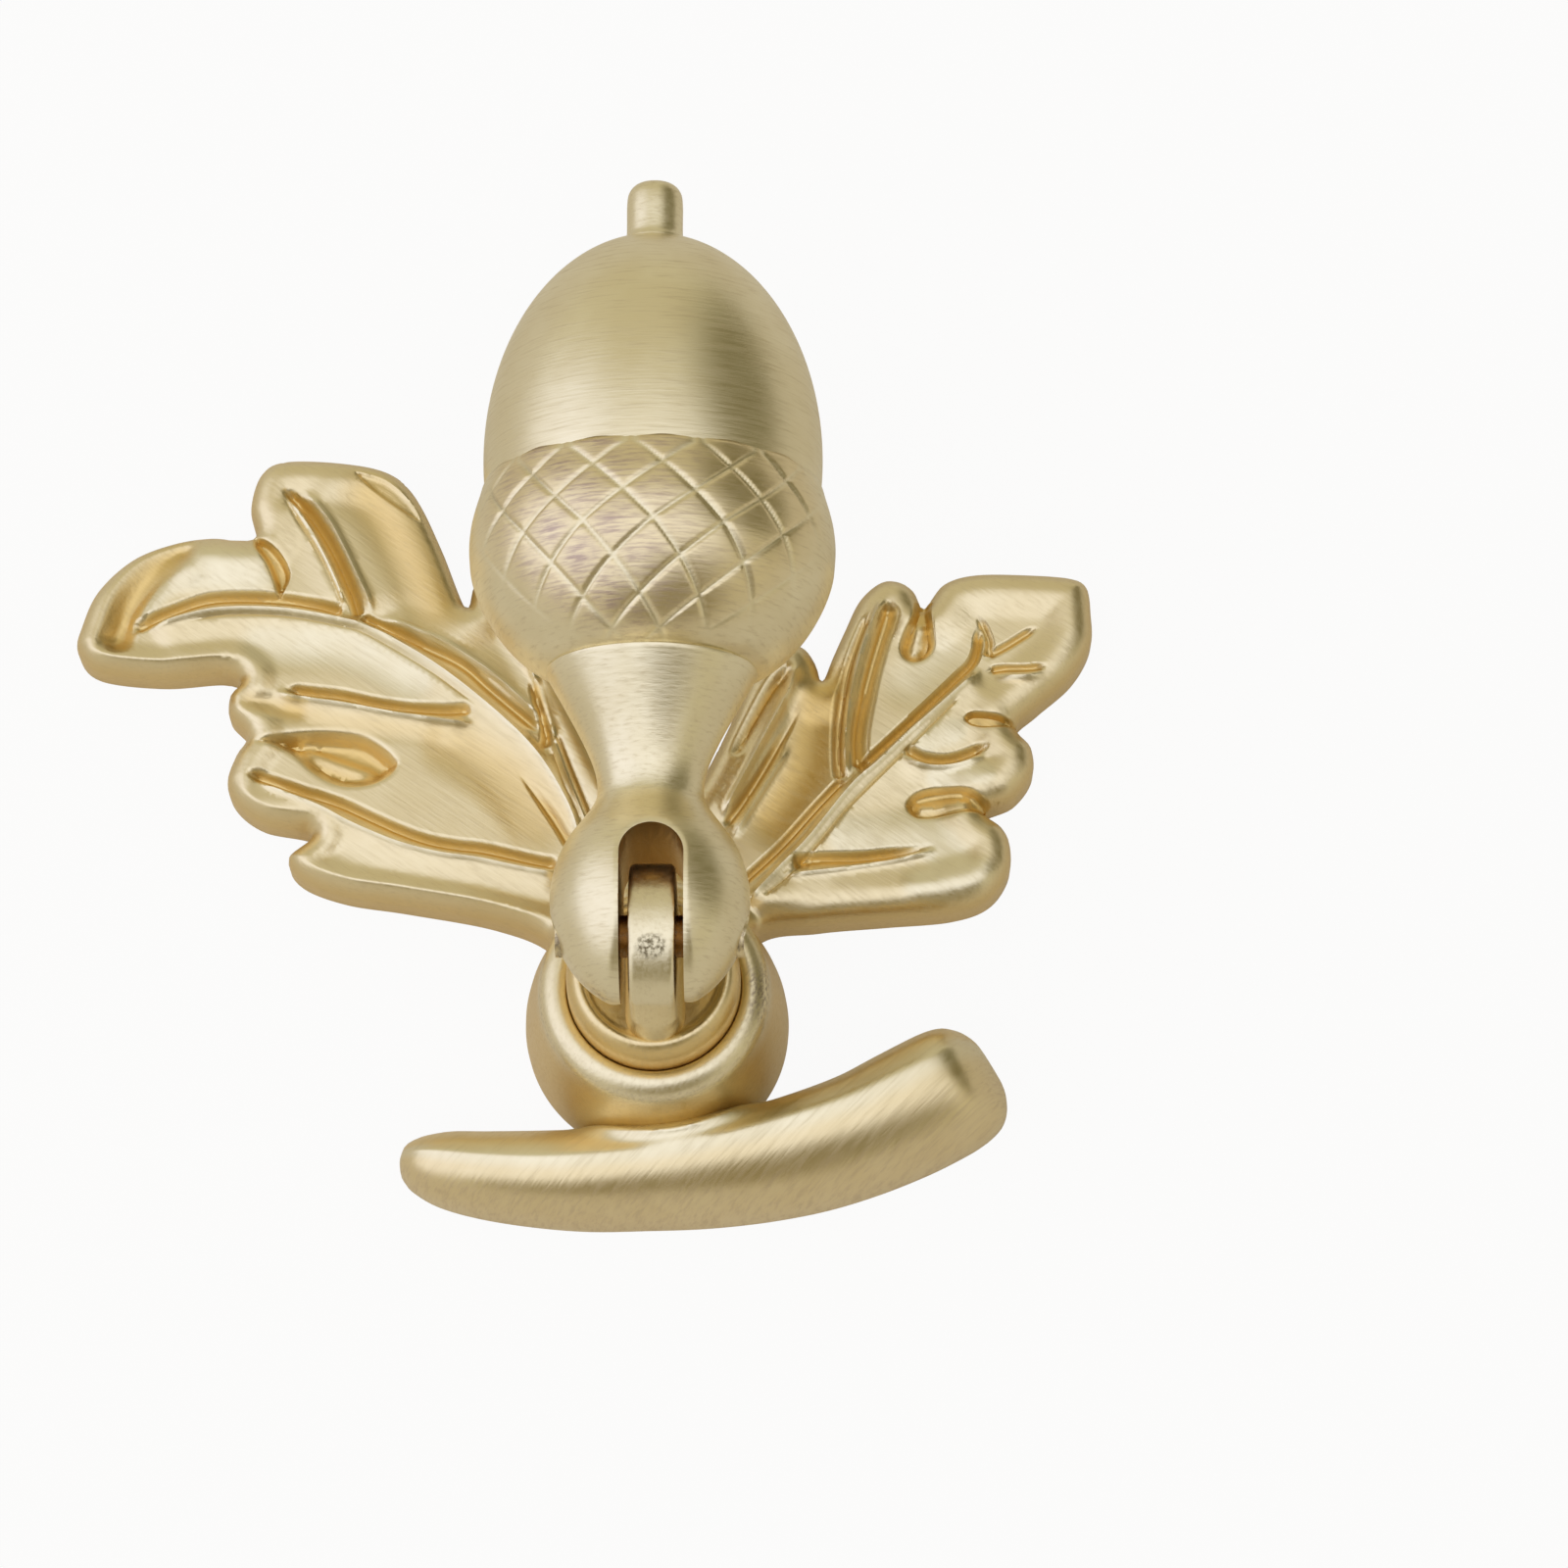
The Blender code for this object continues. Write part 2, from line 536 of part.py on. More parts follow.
def acorn_profile():
    """Half outline below and above the cup, as (distance from the pivot, radius)."""
    below = []
    for k in range(13):
        angle = math.radians(-90 + 128 * k / 12)
        along = BALL_CENTRE + BALL_HALF_LENGTH * math.sin(angle)
        below.append((along, max(0.0, BALL_RADIUS * math.cos(angle))))
    below[0] = (below[0][0], 0.0)
    below += NECK
    above = []
    for k in range(9):
        angle = math.radians(-8 + 88 * k / 8)
        above.append((NUT_CENTRE + NUT_HALF_LENGTH * math.sin(angle), NUT_RADIUS * math.cos(angle)))
    above += [
        (NUT_CENTRE + NUT_HALF_LENGTH * 0.992, STUB_RADIUS + 0.00005),
        (STUB_END - 0.0011, STUB_RADIUS),
        (STUB_END - 0.0005, STUB_RADIUS - 0.0002),
        (STUB_END - 0.0001, 0.0006),
        (STUB_END, 0.0),
    ]
    return below, above


def cup_point(row, turn, lift):
    """A point of the cup at a lattice row and an angle in turns, lifted off the surface."""
    line = curve_through(CUP, CUP_STEP, False)
    spot = np.clip(row / LATTICE_ROWS, 0.0, 1.0) * (len(line) - 1)
    i = min(int(spot), len(line) - 2)
    along, radius = line[i] + (line[i + 1] - line[i]) * (spot - i)
    slope = line[i + 1] - line[i]
    slope /= np.linalg.norm(slope)
    along -= slope[1] * lift
    radius += slope[0] * lift
    angle = 2 * math.pi * turn
    return Vector((radius * math.cos(angle), along, radius * math.sin(angle)))


def acorn(gold):
    """Ball, neck, latticed cup, nut and stub turned about local Y, with the clevis slot and the pin hole cut."""
    bm = bmesh.new()
    below, above = acorn_profile()

    def ring(along, radius):
        if radius == 0.0:
            return [bm.verts.new((0.0, along, 0.0))]
        turns = [2 * math.pi * k / AROUND for k in range(AROUND)]
        return [bm.verts.new((radius * math.cos(a), along, radius * math.sin(a))) for a in turns]

    def skin(rings):
        for low, high in zip(rings, rings[1:]):
            for k in range(AROUND):
                a, b = low[k % len(low)], low[(k + 1) % len(low)]
                c, d = high[(k + 1) % len(high)], high[k % len(high)]
                corners = list(dict.fromkeys((a, b, c, d)))
                if len(corners) > 2:
                    bm.faces.new(corners)

    rings_below = [ring(*p) for p in below]
    rings_above = [ring(*p) for p in above]

    # Lattice: nodes alternate by half a cell from row to row, and each cell is a raised cushion between grooves.
    nodes = {}
    for row in range(LATTICE_ROWS + 1):
        for k in range(LATTICE_STARTS):
            half = row % 2
            edge = row in (0, LATTICE_ROWS)
            nodes[row, 2 * k + half] = bm.verts.new(
                cup_point(row, (2 * k + half) / (2 * LATTICE_STARTS), 0.0 if edge else -GROOVE_DEPTH)
            )
            if edge:
                other = (2 * k + half + 1) % (2 * LATTICE_STARTS)
                nodes[row, other] = bm.verts.new(cup_point(row, other / (2 * LATTICE_STARTS), 0.0))

    whole = 2 * LATTICE_STARTS
    for row in range(0, LATTICE_ROWS + 1):
        for k in range(LATTICE_STARTS):
            centre = (2 * k + (row % 2) + 1) % whole
            left, right = (centre - 1) % whole, (centre + 1) % whole
            rim = [nodes[row, left]]
            if row > 0:
                rim.append(nodes[row - 1, centre])
            else:
                rim.append(nodes[row, centre])
            rim.append(nodes[row, right])
            if row < LATTICE_ROWS:
                rim.append(nodes[row + 1, centre])
            else:
                rim.append(nodes[row, centre])
            low = row - 1 if row > 0 else row
            high = row + 1 if row < LATTICE_ROWS else row
            middle_row = (low + high) / 2
            inset = GROOVE_HALF_WIDTH / CELL_HALF
            inner = []
            for (r, c) in ((row, -1.0), (low, 0.0), (row, 1.0), (high, 0.0)):
                r = r + (middle_row - r) * inset
                c = c * (1.0 - inset)
                inner.append(bm.verts.new(cup_point(r, (centre + c) / whole, 0.0)))
            crown = bm.verts.new(cup_point(middle_row, centre / whole, CELL_CROWN))
            for i in range(4):
                j = (i + 1) % 4
                bm.faces.new((rim[i], rim[j], inner[j], inner[i]))
                bm.faces.new((inner[i], inner[j], crown))

    foot = [nodes[0, k] for k in range(whole)]
    lip = [nodes[LATTICE_ROWS, k] for k in range(whole)]
    skin(rings_below + [foot])
    skin([lip] + rings_above)
    body = new_object("acorn_pendant", bm, gold)

    slot_bm = bmesh.new()
    half = SLOT_WIDTH / 2
    plan = [(half, -SLOT_MOUTH)]
    for k in range(13):
        angle = math.pi * k / 12
        plan.append((half * math.cos(angle), SLOT_ROOT - half + half * math.sin(angle)))
    plan.append((-half, -SLOT_MOUTH))
    face = slot_bm.faces.new([slot_bm.verts.new((x, y, -SLOT_CUT_HEIGHT / 2)) for x, y in plan])
    grown = bmesh.ops.extrude_face_region(slot_bm, geom=[face])
    moved = [v for v in grown["geom"] if isinstance(v, bmesh.types.BMVert)]
    bmesh.ops.translate(slot_bm, verts=moved, vec=(0, 0, SLOT_CUT_HEIGHT))
    slot = new_object("slot_cutter", slot_bm)
    ears = rod_along_x("ear_bore", PIN_RADIUS + PIN_PRESSED, EAR_BORE_LENGTH, PIN_AROUND)
    for cutter in (slot, ears):
        cutter.parent = body
        boolean(body, "DIFFERENCE", cutter)
    smooth(body, 40)
    return body


def main():
    clear_scene()
    gold = metal("satin_gold", GOLD, 0.34)
    backplate(metal("satin_gold_plate", GOLD, 0.34))
    hinge_post(metal("satin_gold_post", GOLD, 0.34))
    swing = bpy.data.objects.new("hinge_axis", None)
    bpy.context.scene.collection.objects.link(swing)
    swing.location = (0, 0, PIVOT_HEIGHT)
    swing.rotation_euler = (REST_TILT, 0, 0)
    pendant = acorn(gold)
    pendant.parent = swing
    pin = rod_along_x("hinge_pin", PIN_RADIUS, PIN_LENGTH, PIN_AROUND)
    pin.data.materials.append(metal("pin_steel", (0.60, 0.50, 0.32, 1.0), 0.45))
    smooth(pin, 40)
    pin.parent = swing


main()
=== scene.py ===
"""Satin gold acorn drop pull, lying on its back: leaf backplate, hinge post, cross pin and acorn."""

import math

import bmesh
import bpy
import numpy as np
from mathutils import Matrix, Vector, geometry


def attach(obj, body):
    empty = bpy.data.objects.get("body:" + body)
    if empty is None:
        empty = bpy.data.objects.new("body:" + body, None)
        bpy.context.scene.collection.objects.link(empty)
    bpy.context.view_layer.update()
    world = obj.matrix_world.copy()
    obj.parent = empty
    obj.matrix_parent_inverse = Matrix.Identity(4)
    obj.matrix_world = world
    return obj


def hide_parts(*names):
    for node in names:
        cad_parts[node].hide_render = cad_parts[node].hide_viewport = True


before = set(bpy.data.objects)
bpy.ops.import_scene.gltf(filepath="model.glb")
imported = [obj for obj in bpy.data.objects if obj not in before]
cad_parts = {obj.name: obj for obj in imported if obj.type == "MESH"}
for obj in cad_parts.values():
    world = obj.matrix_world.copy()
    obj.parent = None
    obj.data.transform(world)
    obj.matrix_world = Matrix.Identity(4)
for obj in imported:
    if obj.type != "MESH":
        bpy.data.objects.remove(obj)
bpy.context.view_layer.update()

# Oak leaves. The rear half of the backplate casting: two leaves with thick rounded edges, moulded veins
# with a groove beside each, and pockets pressed between the lobes. Cast brass, plated and brushed, flat on
# the back. The lines below are drawn in millimetres on the plate's back face.
LEAF_EDGE = [
    (3.4, 1.2), (5.0, 4.4), (8.0, 5.0), (11.3, 5.3), (14.6, 5.6), (16.5, 6.3), (17.5, 7.7), (17.6, 9.2),
    (17.2, 10.1), (16.4, 10.9), (17.8, 11.6), (18.75, 12.9), (18.75, 14.3), (18.0, 15.4), (19.1, 16.5),
    (20.85, 18.1), (21.83, 19.9), (21.87, 21.7), (21.7, 22.9), (20.9, 23.4), (18.7, 23.6), (16.0, 23.6),
    (14.4, 23.1), (13.4, 21.9), (12.9, 22.7), (12.2, 23.2), (11.2, 23.2), (10.1, 22.2), (9.3, 20.5),
    (8.7, 19.1), (8.2, 17.9), (7.9, 18.8), (7.2, 19.7), (5.8, 19.9), (4.7, 18.4), (3.2, 14.8),
    (1.6, 11.8), (0.0, 10.6), (-1.8, 12.2), (-3.6, 15.8), (-5.6, 20.4), (-7.0, 23.2), (-8.4, 23.9),
    (-9.5, 23.0), (-9.9, 21.9), (-11.2, 25.1), (-12.5, 27.8), (-13.9, 29.15), (-16.2, 29.7),
    (-19.2, 29.8), (-20.5, 29.1), (-21.0, 27.3), (-20.7, 25.7), (-21.6, 25.5), (-22.9, 25.6),
    (-24.8, 25.3), (-26.9, 24.4), (-28.6, 22.7), (-29.36, 20.8), (-29.52, 19.5), (-28.4, 18.4),
    (-25.2, 18.0), (-22.2, 18.2), (-21.2, 17.8), (-21.7, 17.1), (-21.7, 16.0), (-20.8, 14.9),
    (-21.3, 13.9), (-21.7, 12.5), (-21.2, 11.3), (-19.8, 10.3), (-17.4, 9.7), (-18.5, 8.5),
    (-17.8, 7.35), (-15.6, 6.5), (-12.5, 6.0), (-8.1, 5.15), (-5.3, 3.9), (-3.4, 1.2),
]
LEAF_BACK_STEP = 0.25
LEAF_GRID = 0.22
LEAF_STEP = 0.13
LEAF_CELL = 0.2
LEAF_WALL = 1.15
LEAF_TOP = 2.75
LEAF_FLOOR = 0.8
LEAF_DISH = 0.34
SOFT_EDGE = (1.35, 2.1)
CRISP_EDGE = (0.65, 1.35)
LEAF_PAINTED_SHADE = 0.26
EDGE_PAINTED_SHADE = 0.5
CREST_HALF = 0.30
CREST_RISE = 0.13
BOSS_FILLET = (7.3, 0.9)

# Ridges: the line, its height, and how far it slopes off on its left and on its right.
RIDGES = [
    ([(-3.5, 7.0), (-3.9, 9.2), (-4.6, 11.2), (-6.2, 13.8), (-8.6, 16.2), (-11.5, 18.5), (-14.5, 20.25),
      (-16.0, 20.75), (-19.0, 21.3), (-22.0, 21.35), (-24.0, 20.95), (-25.9, 20.25)], 0.6, 3.0, 0.5),
    ([(-5.6, 15.3), (-8.0, 17.6), (-9.5, 18.75), (-11.0, 19.7), (-12.5, 20.4), (-14.1, 21.0)],
     0.25, 0.35, 1.2),
    ([(-15.95, 21.5), (-16.2, 22.4), (-17.0, 24.2), (-18.0, 26.0), (-19.15, 27.75)], 0.32, 1.6, 0.3),
    ([(-14.55, 21.0), (-14.8, 22.0), (-15.4, 23.3), (-16.1, 24.8), (-17.0, 26.4), (-18.3, 27.9)],
     0.38, 0.45, 2.5),
    ([(-9.2, 15.2), (-11.0, 15.45), (-13.5, 15.85), (-15.5, 16.25), (-18.0, 16.65), (-19.5, 17.0)],
     0.36, 1.3, 0.35),
    ([(-4.6, 7.2), (-7.4, 7.8), (-9.0, 8.15), (-11.0, 8.45), (-13.0, 9.0), (-15.0, 9.85),
      (-17.0, 10.85), (-18.7, 11.6), (-20.2, 12.25)], 0.4, 1.6, 0.4),
    ([(-3.4, 9.6), (-4.6, 12.6), (-5.5, 15.2), (-6.4, 18.0), (-7.4, 20.8)], 0.2, 0.3, 0.3),
    ([(4.3, 5.6), (6.0, 7.6), (7.5, 9.2), (9.6, 11.9), (11.0, 13.2), (12.5, 14.7), (14.0, 16.1),
      (15.5, 17.5), (16.3, 18.2)], 0.55, 0.42, 2.6),
    ([(9.5, 12.5), (9.3, 13.5), (9.4, 15.0), (9.7, 17.0), (10.2, 19.0), (10.9, 21.0), (11.4, 22.1)],
     0.34, 0.32, 0.32),
    ([(12.1, 13.45), (13.5, 13.0), (15.0, 13.1), (16.6, 13.7)], 0.3, 0.3, 1.0),
    ([(6.3, 7.2), (8.0, 7.45), (10.0, 7.75), (12.0, 8.1), (14.0, 8.65)], 0.28, 0.35, 1.2),
    ([(16.8, 17.8), (18.5, 17.75), (19.6, 18.0)], 0.15, 0.25, 0.4),
    ([(3.2, 10.3), (4.5, 12.9), (5.5, 14.9), (6.5, 16.9), (7.0, 18.6)], 0.45, 0.5, 0.6),
    ([(3.7, 9.3), (5.0, 11.5), (6.6, 14.2)], 0.15, 0.2, 0.3),
]

# Grooves: the line, its depth, how wide it is on its left and on its right, and the length it fades out
# over at its start and at its end.
GROOVES = [
    ([(-16.1, 21.25), (-17.5, 21.65), (-19.5, 21.95), (-22.5, 21.95), (-24.5, 21.35), (-26.6, 20.3)],
     0.45, 0.36, 0.49, 0.3, 0.4),
    ([(-6.0, 14.9), (-8.6, 17.2), (-10.0, 18.45), (-12.0, 19.5), (-13.6, 20.3), (-15.1, 20.95)],
     0.38, 0.36, 0.36, 1.0, 0.2),
    ([(-9.3, 16.3), (-11.8, 18.2), (-14.7, 19.95), (-16.0, 20.4), (-19.0, 20.95), (-22.0, 21.0),
      (-24.0, 20.6)], 0.09, 0.13, 0.13, 1.0, 1.5),
    ([(-4.3, 8.6), (-5.4, 10.5), (-7.2, 13.0)], 0.3, 0.29, 0.45, 0.5, 3.0),
    ([(-15.25, 21.1), (-15.6, 22.2), (-16.1, 23.4), (-16.65, 24.6), (-17.3, 25.7), (-18.1, 26.8),
      (-19.3, 27.95)], 0.47, 0.34, 0.42, 0.2, 0.8),
    ([(-16.1, 21.6), (-16.45, 22.5), (-17.2, 24.1), (-18.15, 25.8), (-19.3, 27.6)],
     0.11, 0.13, 0.13, 0.2, 0.6),
    ([(-9.4, 15.95), (-11.0, 15.95), (-13.0, 16.15), (-14.5, 16.4), (-16.0, 16.75), (-18.0, 17.0),
      (-18.9, 17.15)], 0.45, 0.34, 0.47, 0.5, 0.8),
    ([(-5.0, 7.75), (-8.5, 8.6), (-10.0, 8.8), (-11.5, 9.1), (-13.0, 9.65), (-14.5, 10.35),
      (-16.0, 11.05), (-17.8, 11.65), (-19.5, 12.25), (-20.7, 12.65)], 0.47, 0.33, 0.49, 0.5, 0.8),
    ([(-5.8, 14.0), (-5.65, 14.9), (-6.4, 17.8)], 0.36, 0.39, 0.39, 0.5, 0.8),
    ([(-3.3, 10.1), (-5.2, 14.8)], 0.18, 0.15, 0.15, 0.5, 0.5),
    ([(4.2, 6.9), (6.0, 8.65), (8.0, 10.95), (9.25, 12.3)], 0.38, 0.36, 0.31, 0.5, 0.2),
    ([(10.05, 12.9), (11.0, 13.8), (13.0, 15.75), (15.0, 17.75), (15.8, 18.6), (16.1, 19.5),
      (16.15, 20.6)], 0.45, 0.36, 0.31, 0.2, 0.8),
    ([(5.3, 6.1), (6.4, 7.1), (7.8, 8.7), (9.2, 10.5), (10.6, 12.0), (12.3, 13.75), (14.0, 15.5),
      (15.2, 16.75)], 0.11, 0.13, 0.13, 0.3, 0.8),
    ([(9.15, 12.4), (9.05, 13.5), (9.1, 15.5), (9.4, 17.5), (9.95, 19.5), (10.6, 21.2)],
     0.29, 0.47, 0.29, 0.2, 0.8),
    ([(9.95, 13.0), (9.9, 14.5), (10.1, 16.0), (10.55, 18.0), (11.0, 19.6), (11.4, 20.9), (11.6, 21.8)],
     0.5, 0.29, 0.65, 0.2, 0.5),
    ([(12.35, 13.85), (13.3, 13.4), (14.5, 13.35), (15.7, 13.75), (16.6, 14.2)],
     0.41, 0.42, 0.26, 0.3, 0.8),
    ([(6.7, 7.85), (8.0, 8.1), (10.0, 8.2), (12.0, 8.45), (14.0, 8.85)], 0.45, 0.44, 0.39, 0.3, 3.0),
    ([(16.5, 18.9), (16.65, 19.6), (16.4, 20.4), (16.05, 21.1)], 0.27, 0.29, 0.29, 0.2, 0.7),
    ([(16.6, 18.95), (17.5, 19.45), (18.5, 20.1), (19.1, 20.45)], 0.29, 0.29, 0.29, 0.2, 0.7),
    ([(16.7, 18.15), (17.5, 18.25), (18.6, 18.2), (19.6, 18.3)], 0.32, 0.29, 0.31, 0.2, 0.7),
    ([(3.4, 9.9), (4.9, 12.2), (6.3, 14.7), (7.1, 16.2)], 0.28, 0.34, 0.29, 0.5, 3.0),
]

# Pockets: the outline, the depth and how far in from the outline the wall slopes.
POCKETS = [
    ([(-20.2, 14.35), (-19.2, 14.75), (-18.0, 14.95), (-16.5, 15.0), (-15.0, 14.8), (-14.0, 14.3),
      (-13.25, 13.6), (-13.05, 13.2), (-13.4, 12.6), (-14.3, 12.1), (-15.4, 11.95), (-16.4, 12.15),
      (-17.4, 12.75), (-18.3, 13.55), (-19.2, 14.05)], 1.05, 0.85),
    ([(-20.6, 25.4), (-19.8, 25.0), (-19.1, 24.2), (-18.75, 23.4), (-18.9, 22.7), (-19.3, 22.1),
      (-19.6, 22.9), (-20.0, 23.8), (-20.6, 24.7)], 0.65, 0.35),
    ([(-15.6, 28.9), (-14.0, 28.4), (-12.7, 27.2), (-12.2, 26.2), (-12.9, 26.5), (-14.0, 27.3),
      (-15.2, 28.3)], 0.22, 0.25),
    ([(13.0, 21.9), (12.7, 21.0), (12.3, 20.2), (12.1, 19.5), (12.25, 18.9), (12.8, 18.6),
      (13.5, 18.85), (13.9, 19.5), (13.85, 20.5), (13.75, 21.3), (13.8, 21.9)], 0.7, 0.42),
    ([(16.8, 11.0), (15.6, 11.85), (14.0, 11.95), (13.1, 11.8), (12.5, 11.4), (12.35, 10.9),
      (12.7, 10.4), (13.4, 10.25), (15.5, 10.55), (16.6, 10.6)], 0.62, 0.4),
    ([(18.2, 15.5), (16.5, 15.85), (15.7, 15.9), (15.3, 15.6), (15.6, 15.2), (16.5, 15.0), (18.0, 15.2)],
     0.5, 0.28),
    ([(6.4, 18.3), (5.6, 17.8), (4.6, 16.2), (3.7, 14.4), (3.6, 13.6), (4.3, 13.6), (5.2, 15.0),
      (6.1, 16.6), (6.7, 17.7)], 0.6, 0.95),
]

# Swells and hollows: the line, half width, height, and the painted shade it adds: deeper gold where
# positive, paler, as painted light, where negative.
SWELLS = [
    ([(-17.6, 13.85), (-16.0, 13.25), (-14.6, 12.75)], 0.6, 0.32, -0.3),
    ([(-27.4, 20.0), (-26.9, 21.8), (-25.8, 23.4), (-24.4, 24.5)], 1.15, -0.62, 0.75),
    ([(-26.4, 20.9), (-25.2, 22.4), (-23.6, 23.2)], 0.7, 0.12, -0.2),
    ([(-14.8, 27.6), (-13.4, 25.6), (-12.3, 23.6), (-11.2, 21.6)], 2.1, -0.2, 0.6),
    ([(8.5, 17.7), (7.8, 15.0), (7.3, 12.8), (5.8, 10.3)], 2.0, -0.24, 0.85),
    ([(9.5, 9.3), (13.0, 9.6), (14.6, 8.1)], 1.4, 0.1, -0.26),
    ([(-18.5, 15.9), (-15.0, 15.3), (-11.5, 14.9)], 1.0, -0.05, 0.32),
    ([(-20.6, 16.5), (-18.2, 16.1)], 0.8, -0.25, 0.4),
    ([(-23.6, 23.6), (-20.6, 23.5)], 1.6, 0.25, -0.25),
    ([(-10.2, 14.2), (-8.0, 12.8), (-5.6, 10.2)], 2.2, -0.2, 0.45),
    ([(12.5, 17.4), (14.2, 19.0)], 1.8, -0.12, -0.1),
    ([(12.85, 19.3), (13.1, 20.3)], 0.5, 0.3, -0.7),
    ([(13.2, 10.85), (15.3, 11.0)], 0.45, 0.28, -0.5),
    ([(-20.0, 19.4), (-16.0, 19.2), (-12.5, 17.6)], 1.6, -0.16, -0.2),
    ([(13.0, 6.7), (16.0, 7.3)], 1.2, 0.12, -0.2),
    ([(14.0, 12.4), (16.3, 12.6)], 0.8, 0.1, -0.25),
    ([(14.8, 14.9), (13.4, 14.3)], 0.9, 0.08, -0.25),
]


def smooth_line(points, step, closed=False):
    """Points about a step apart along a curve through the given ones."""
    count = len(points)
    line = []
    for i in range(count if closed else count - 1):
        b, c = np.array(points[i]), np.array(points[(i + 1) % count])
        a = np.array(points[i - 1]) if closed or i > 0 else 2 * b - c
        d = np.array(points[(i + 2) % count]) if closed or i + 2 < count else 2 * c - b
        bend, twist = 2 * a - 5 * b + 4 * c - d, 3 * b - a - 3 * c + d
        pieces = max(1, round(float(np.linalg.norm(c - b)) / step))
        for t in np.arange(pieces) / pieces:
            line.append(0.5 * (2 * b + (c - a) * t + bend * t**2 + twist * t**3))
    if not closed:
        line.append(np.array(points[-1]))
    return np.array(line)


def off_line(xy, line):
    """How far points lie from a line, on which side of it, and how far along it."""
    best = np.full(len(xy), 1e9)
    side = np.zeros(len(xy))
    run = np.zeros(len(xy))
    reached = 0.0
    for a, b in zip(line, line[1:]):
        d = b - a
        t = np.clip(((xy - a) @ d) / (d @ d), 0.0, 1.0)
        off = xy - (a + t[:, None] * d)
        dist = np.hypot(off[:, 0], off[:, 1])
        near = dist < best
        best = np.where(near, dist, best)
        side = np.where(near, np.sign(d[0] * off[:, 1] - d[1] * off[:, 0]), side)
        run = np.where(near, reached + t * np.hypot(*d), run)
        reached += np.hypot(*d)
    return best, side, run


def within(xy, loop):
    found = np.zeros(len(xy), bool)
    for a, b in zip(loop, np.roll(loop, -1, axis=0)):
        crosses = (a[1] > xy[:, 1]) != (b[1] > xy[:, 1])
        rise = b[1] - a[1] if b[1] != a[1] else 1e-12
        found ^= crosses & (xy[:, 0] < a[0] + (xy[:, 1] - a[1]) * (b[0] - a[0]) / rise)
    return found


def ease(t):
    t = np.clip(t, 0.0, 1.0)
    return t * t * (3.0 - 2.0 * t)


def line_length(line):
    return float(np.hypot(*np.diff(line, axis=0).T).sum())


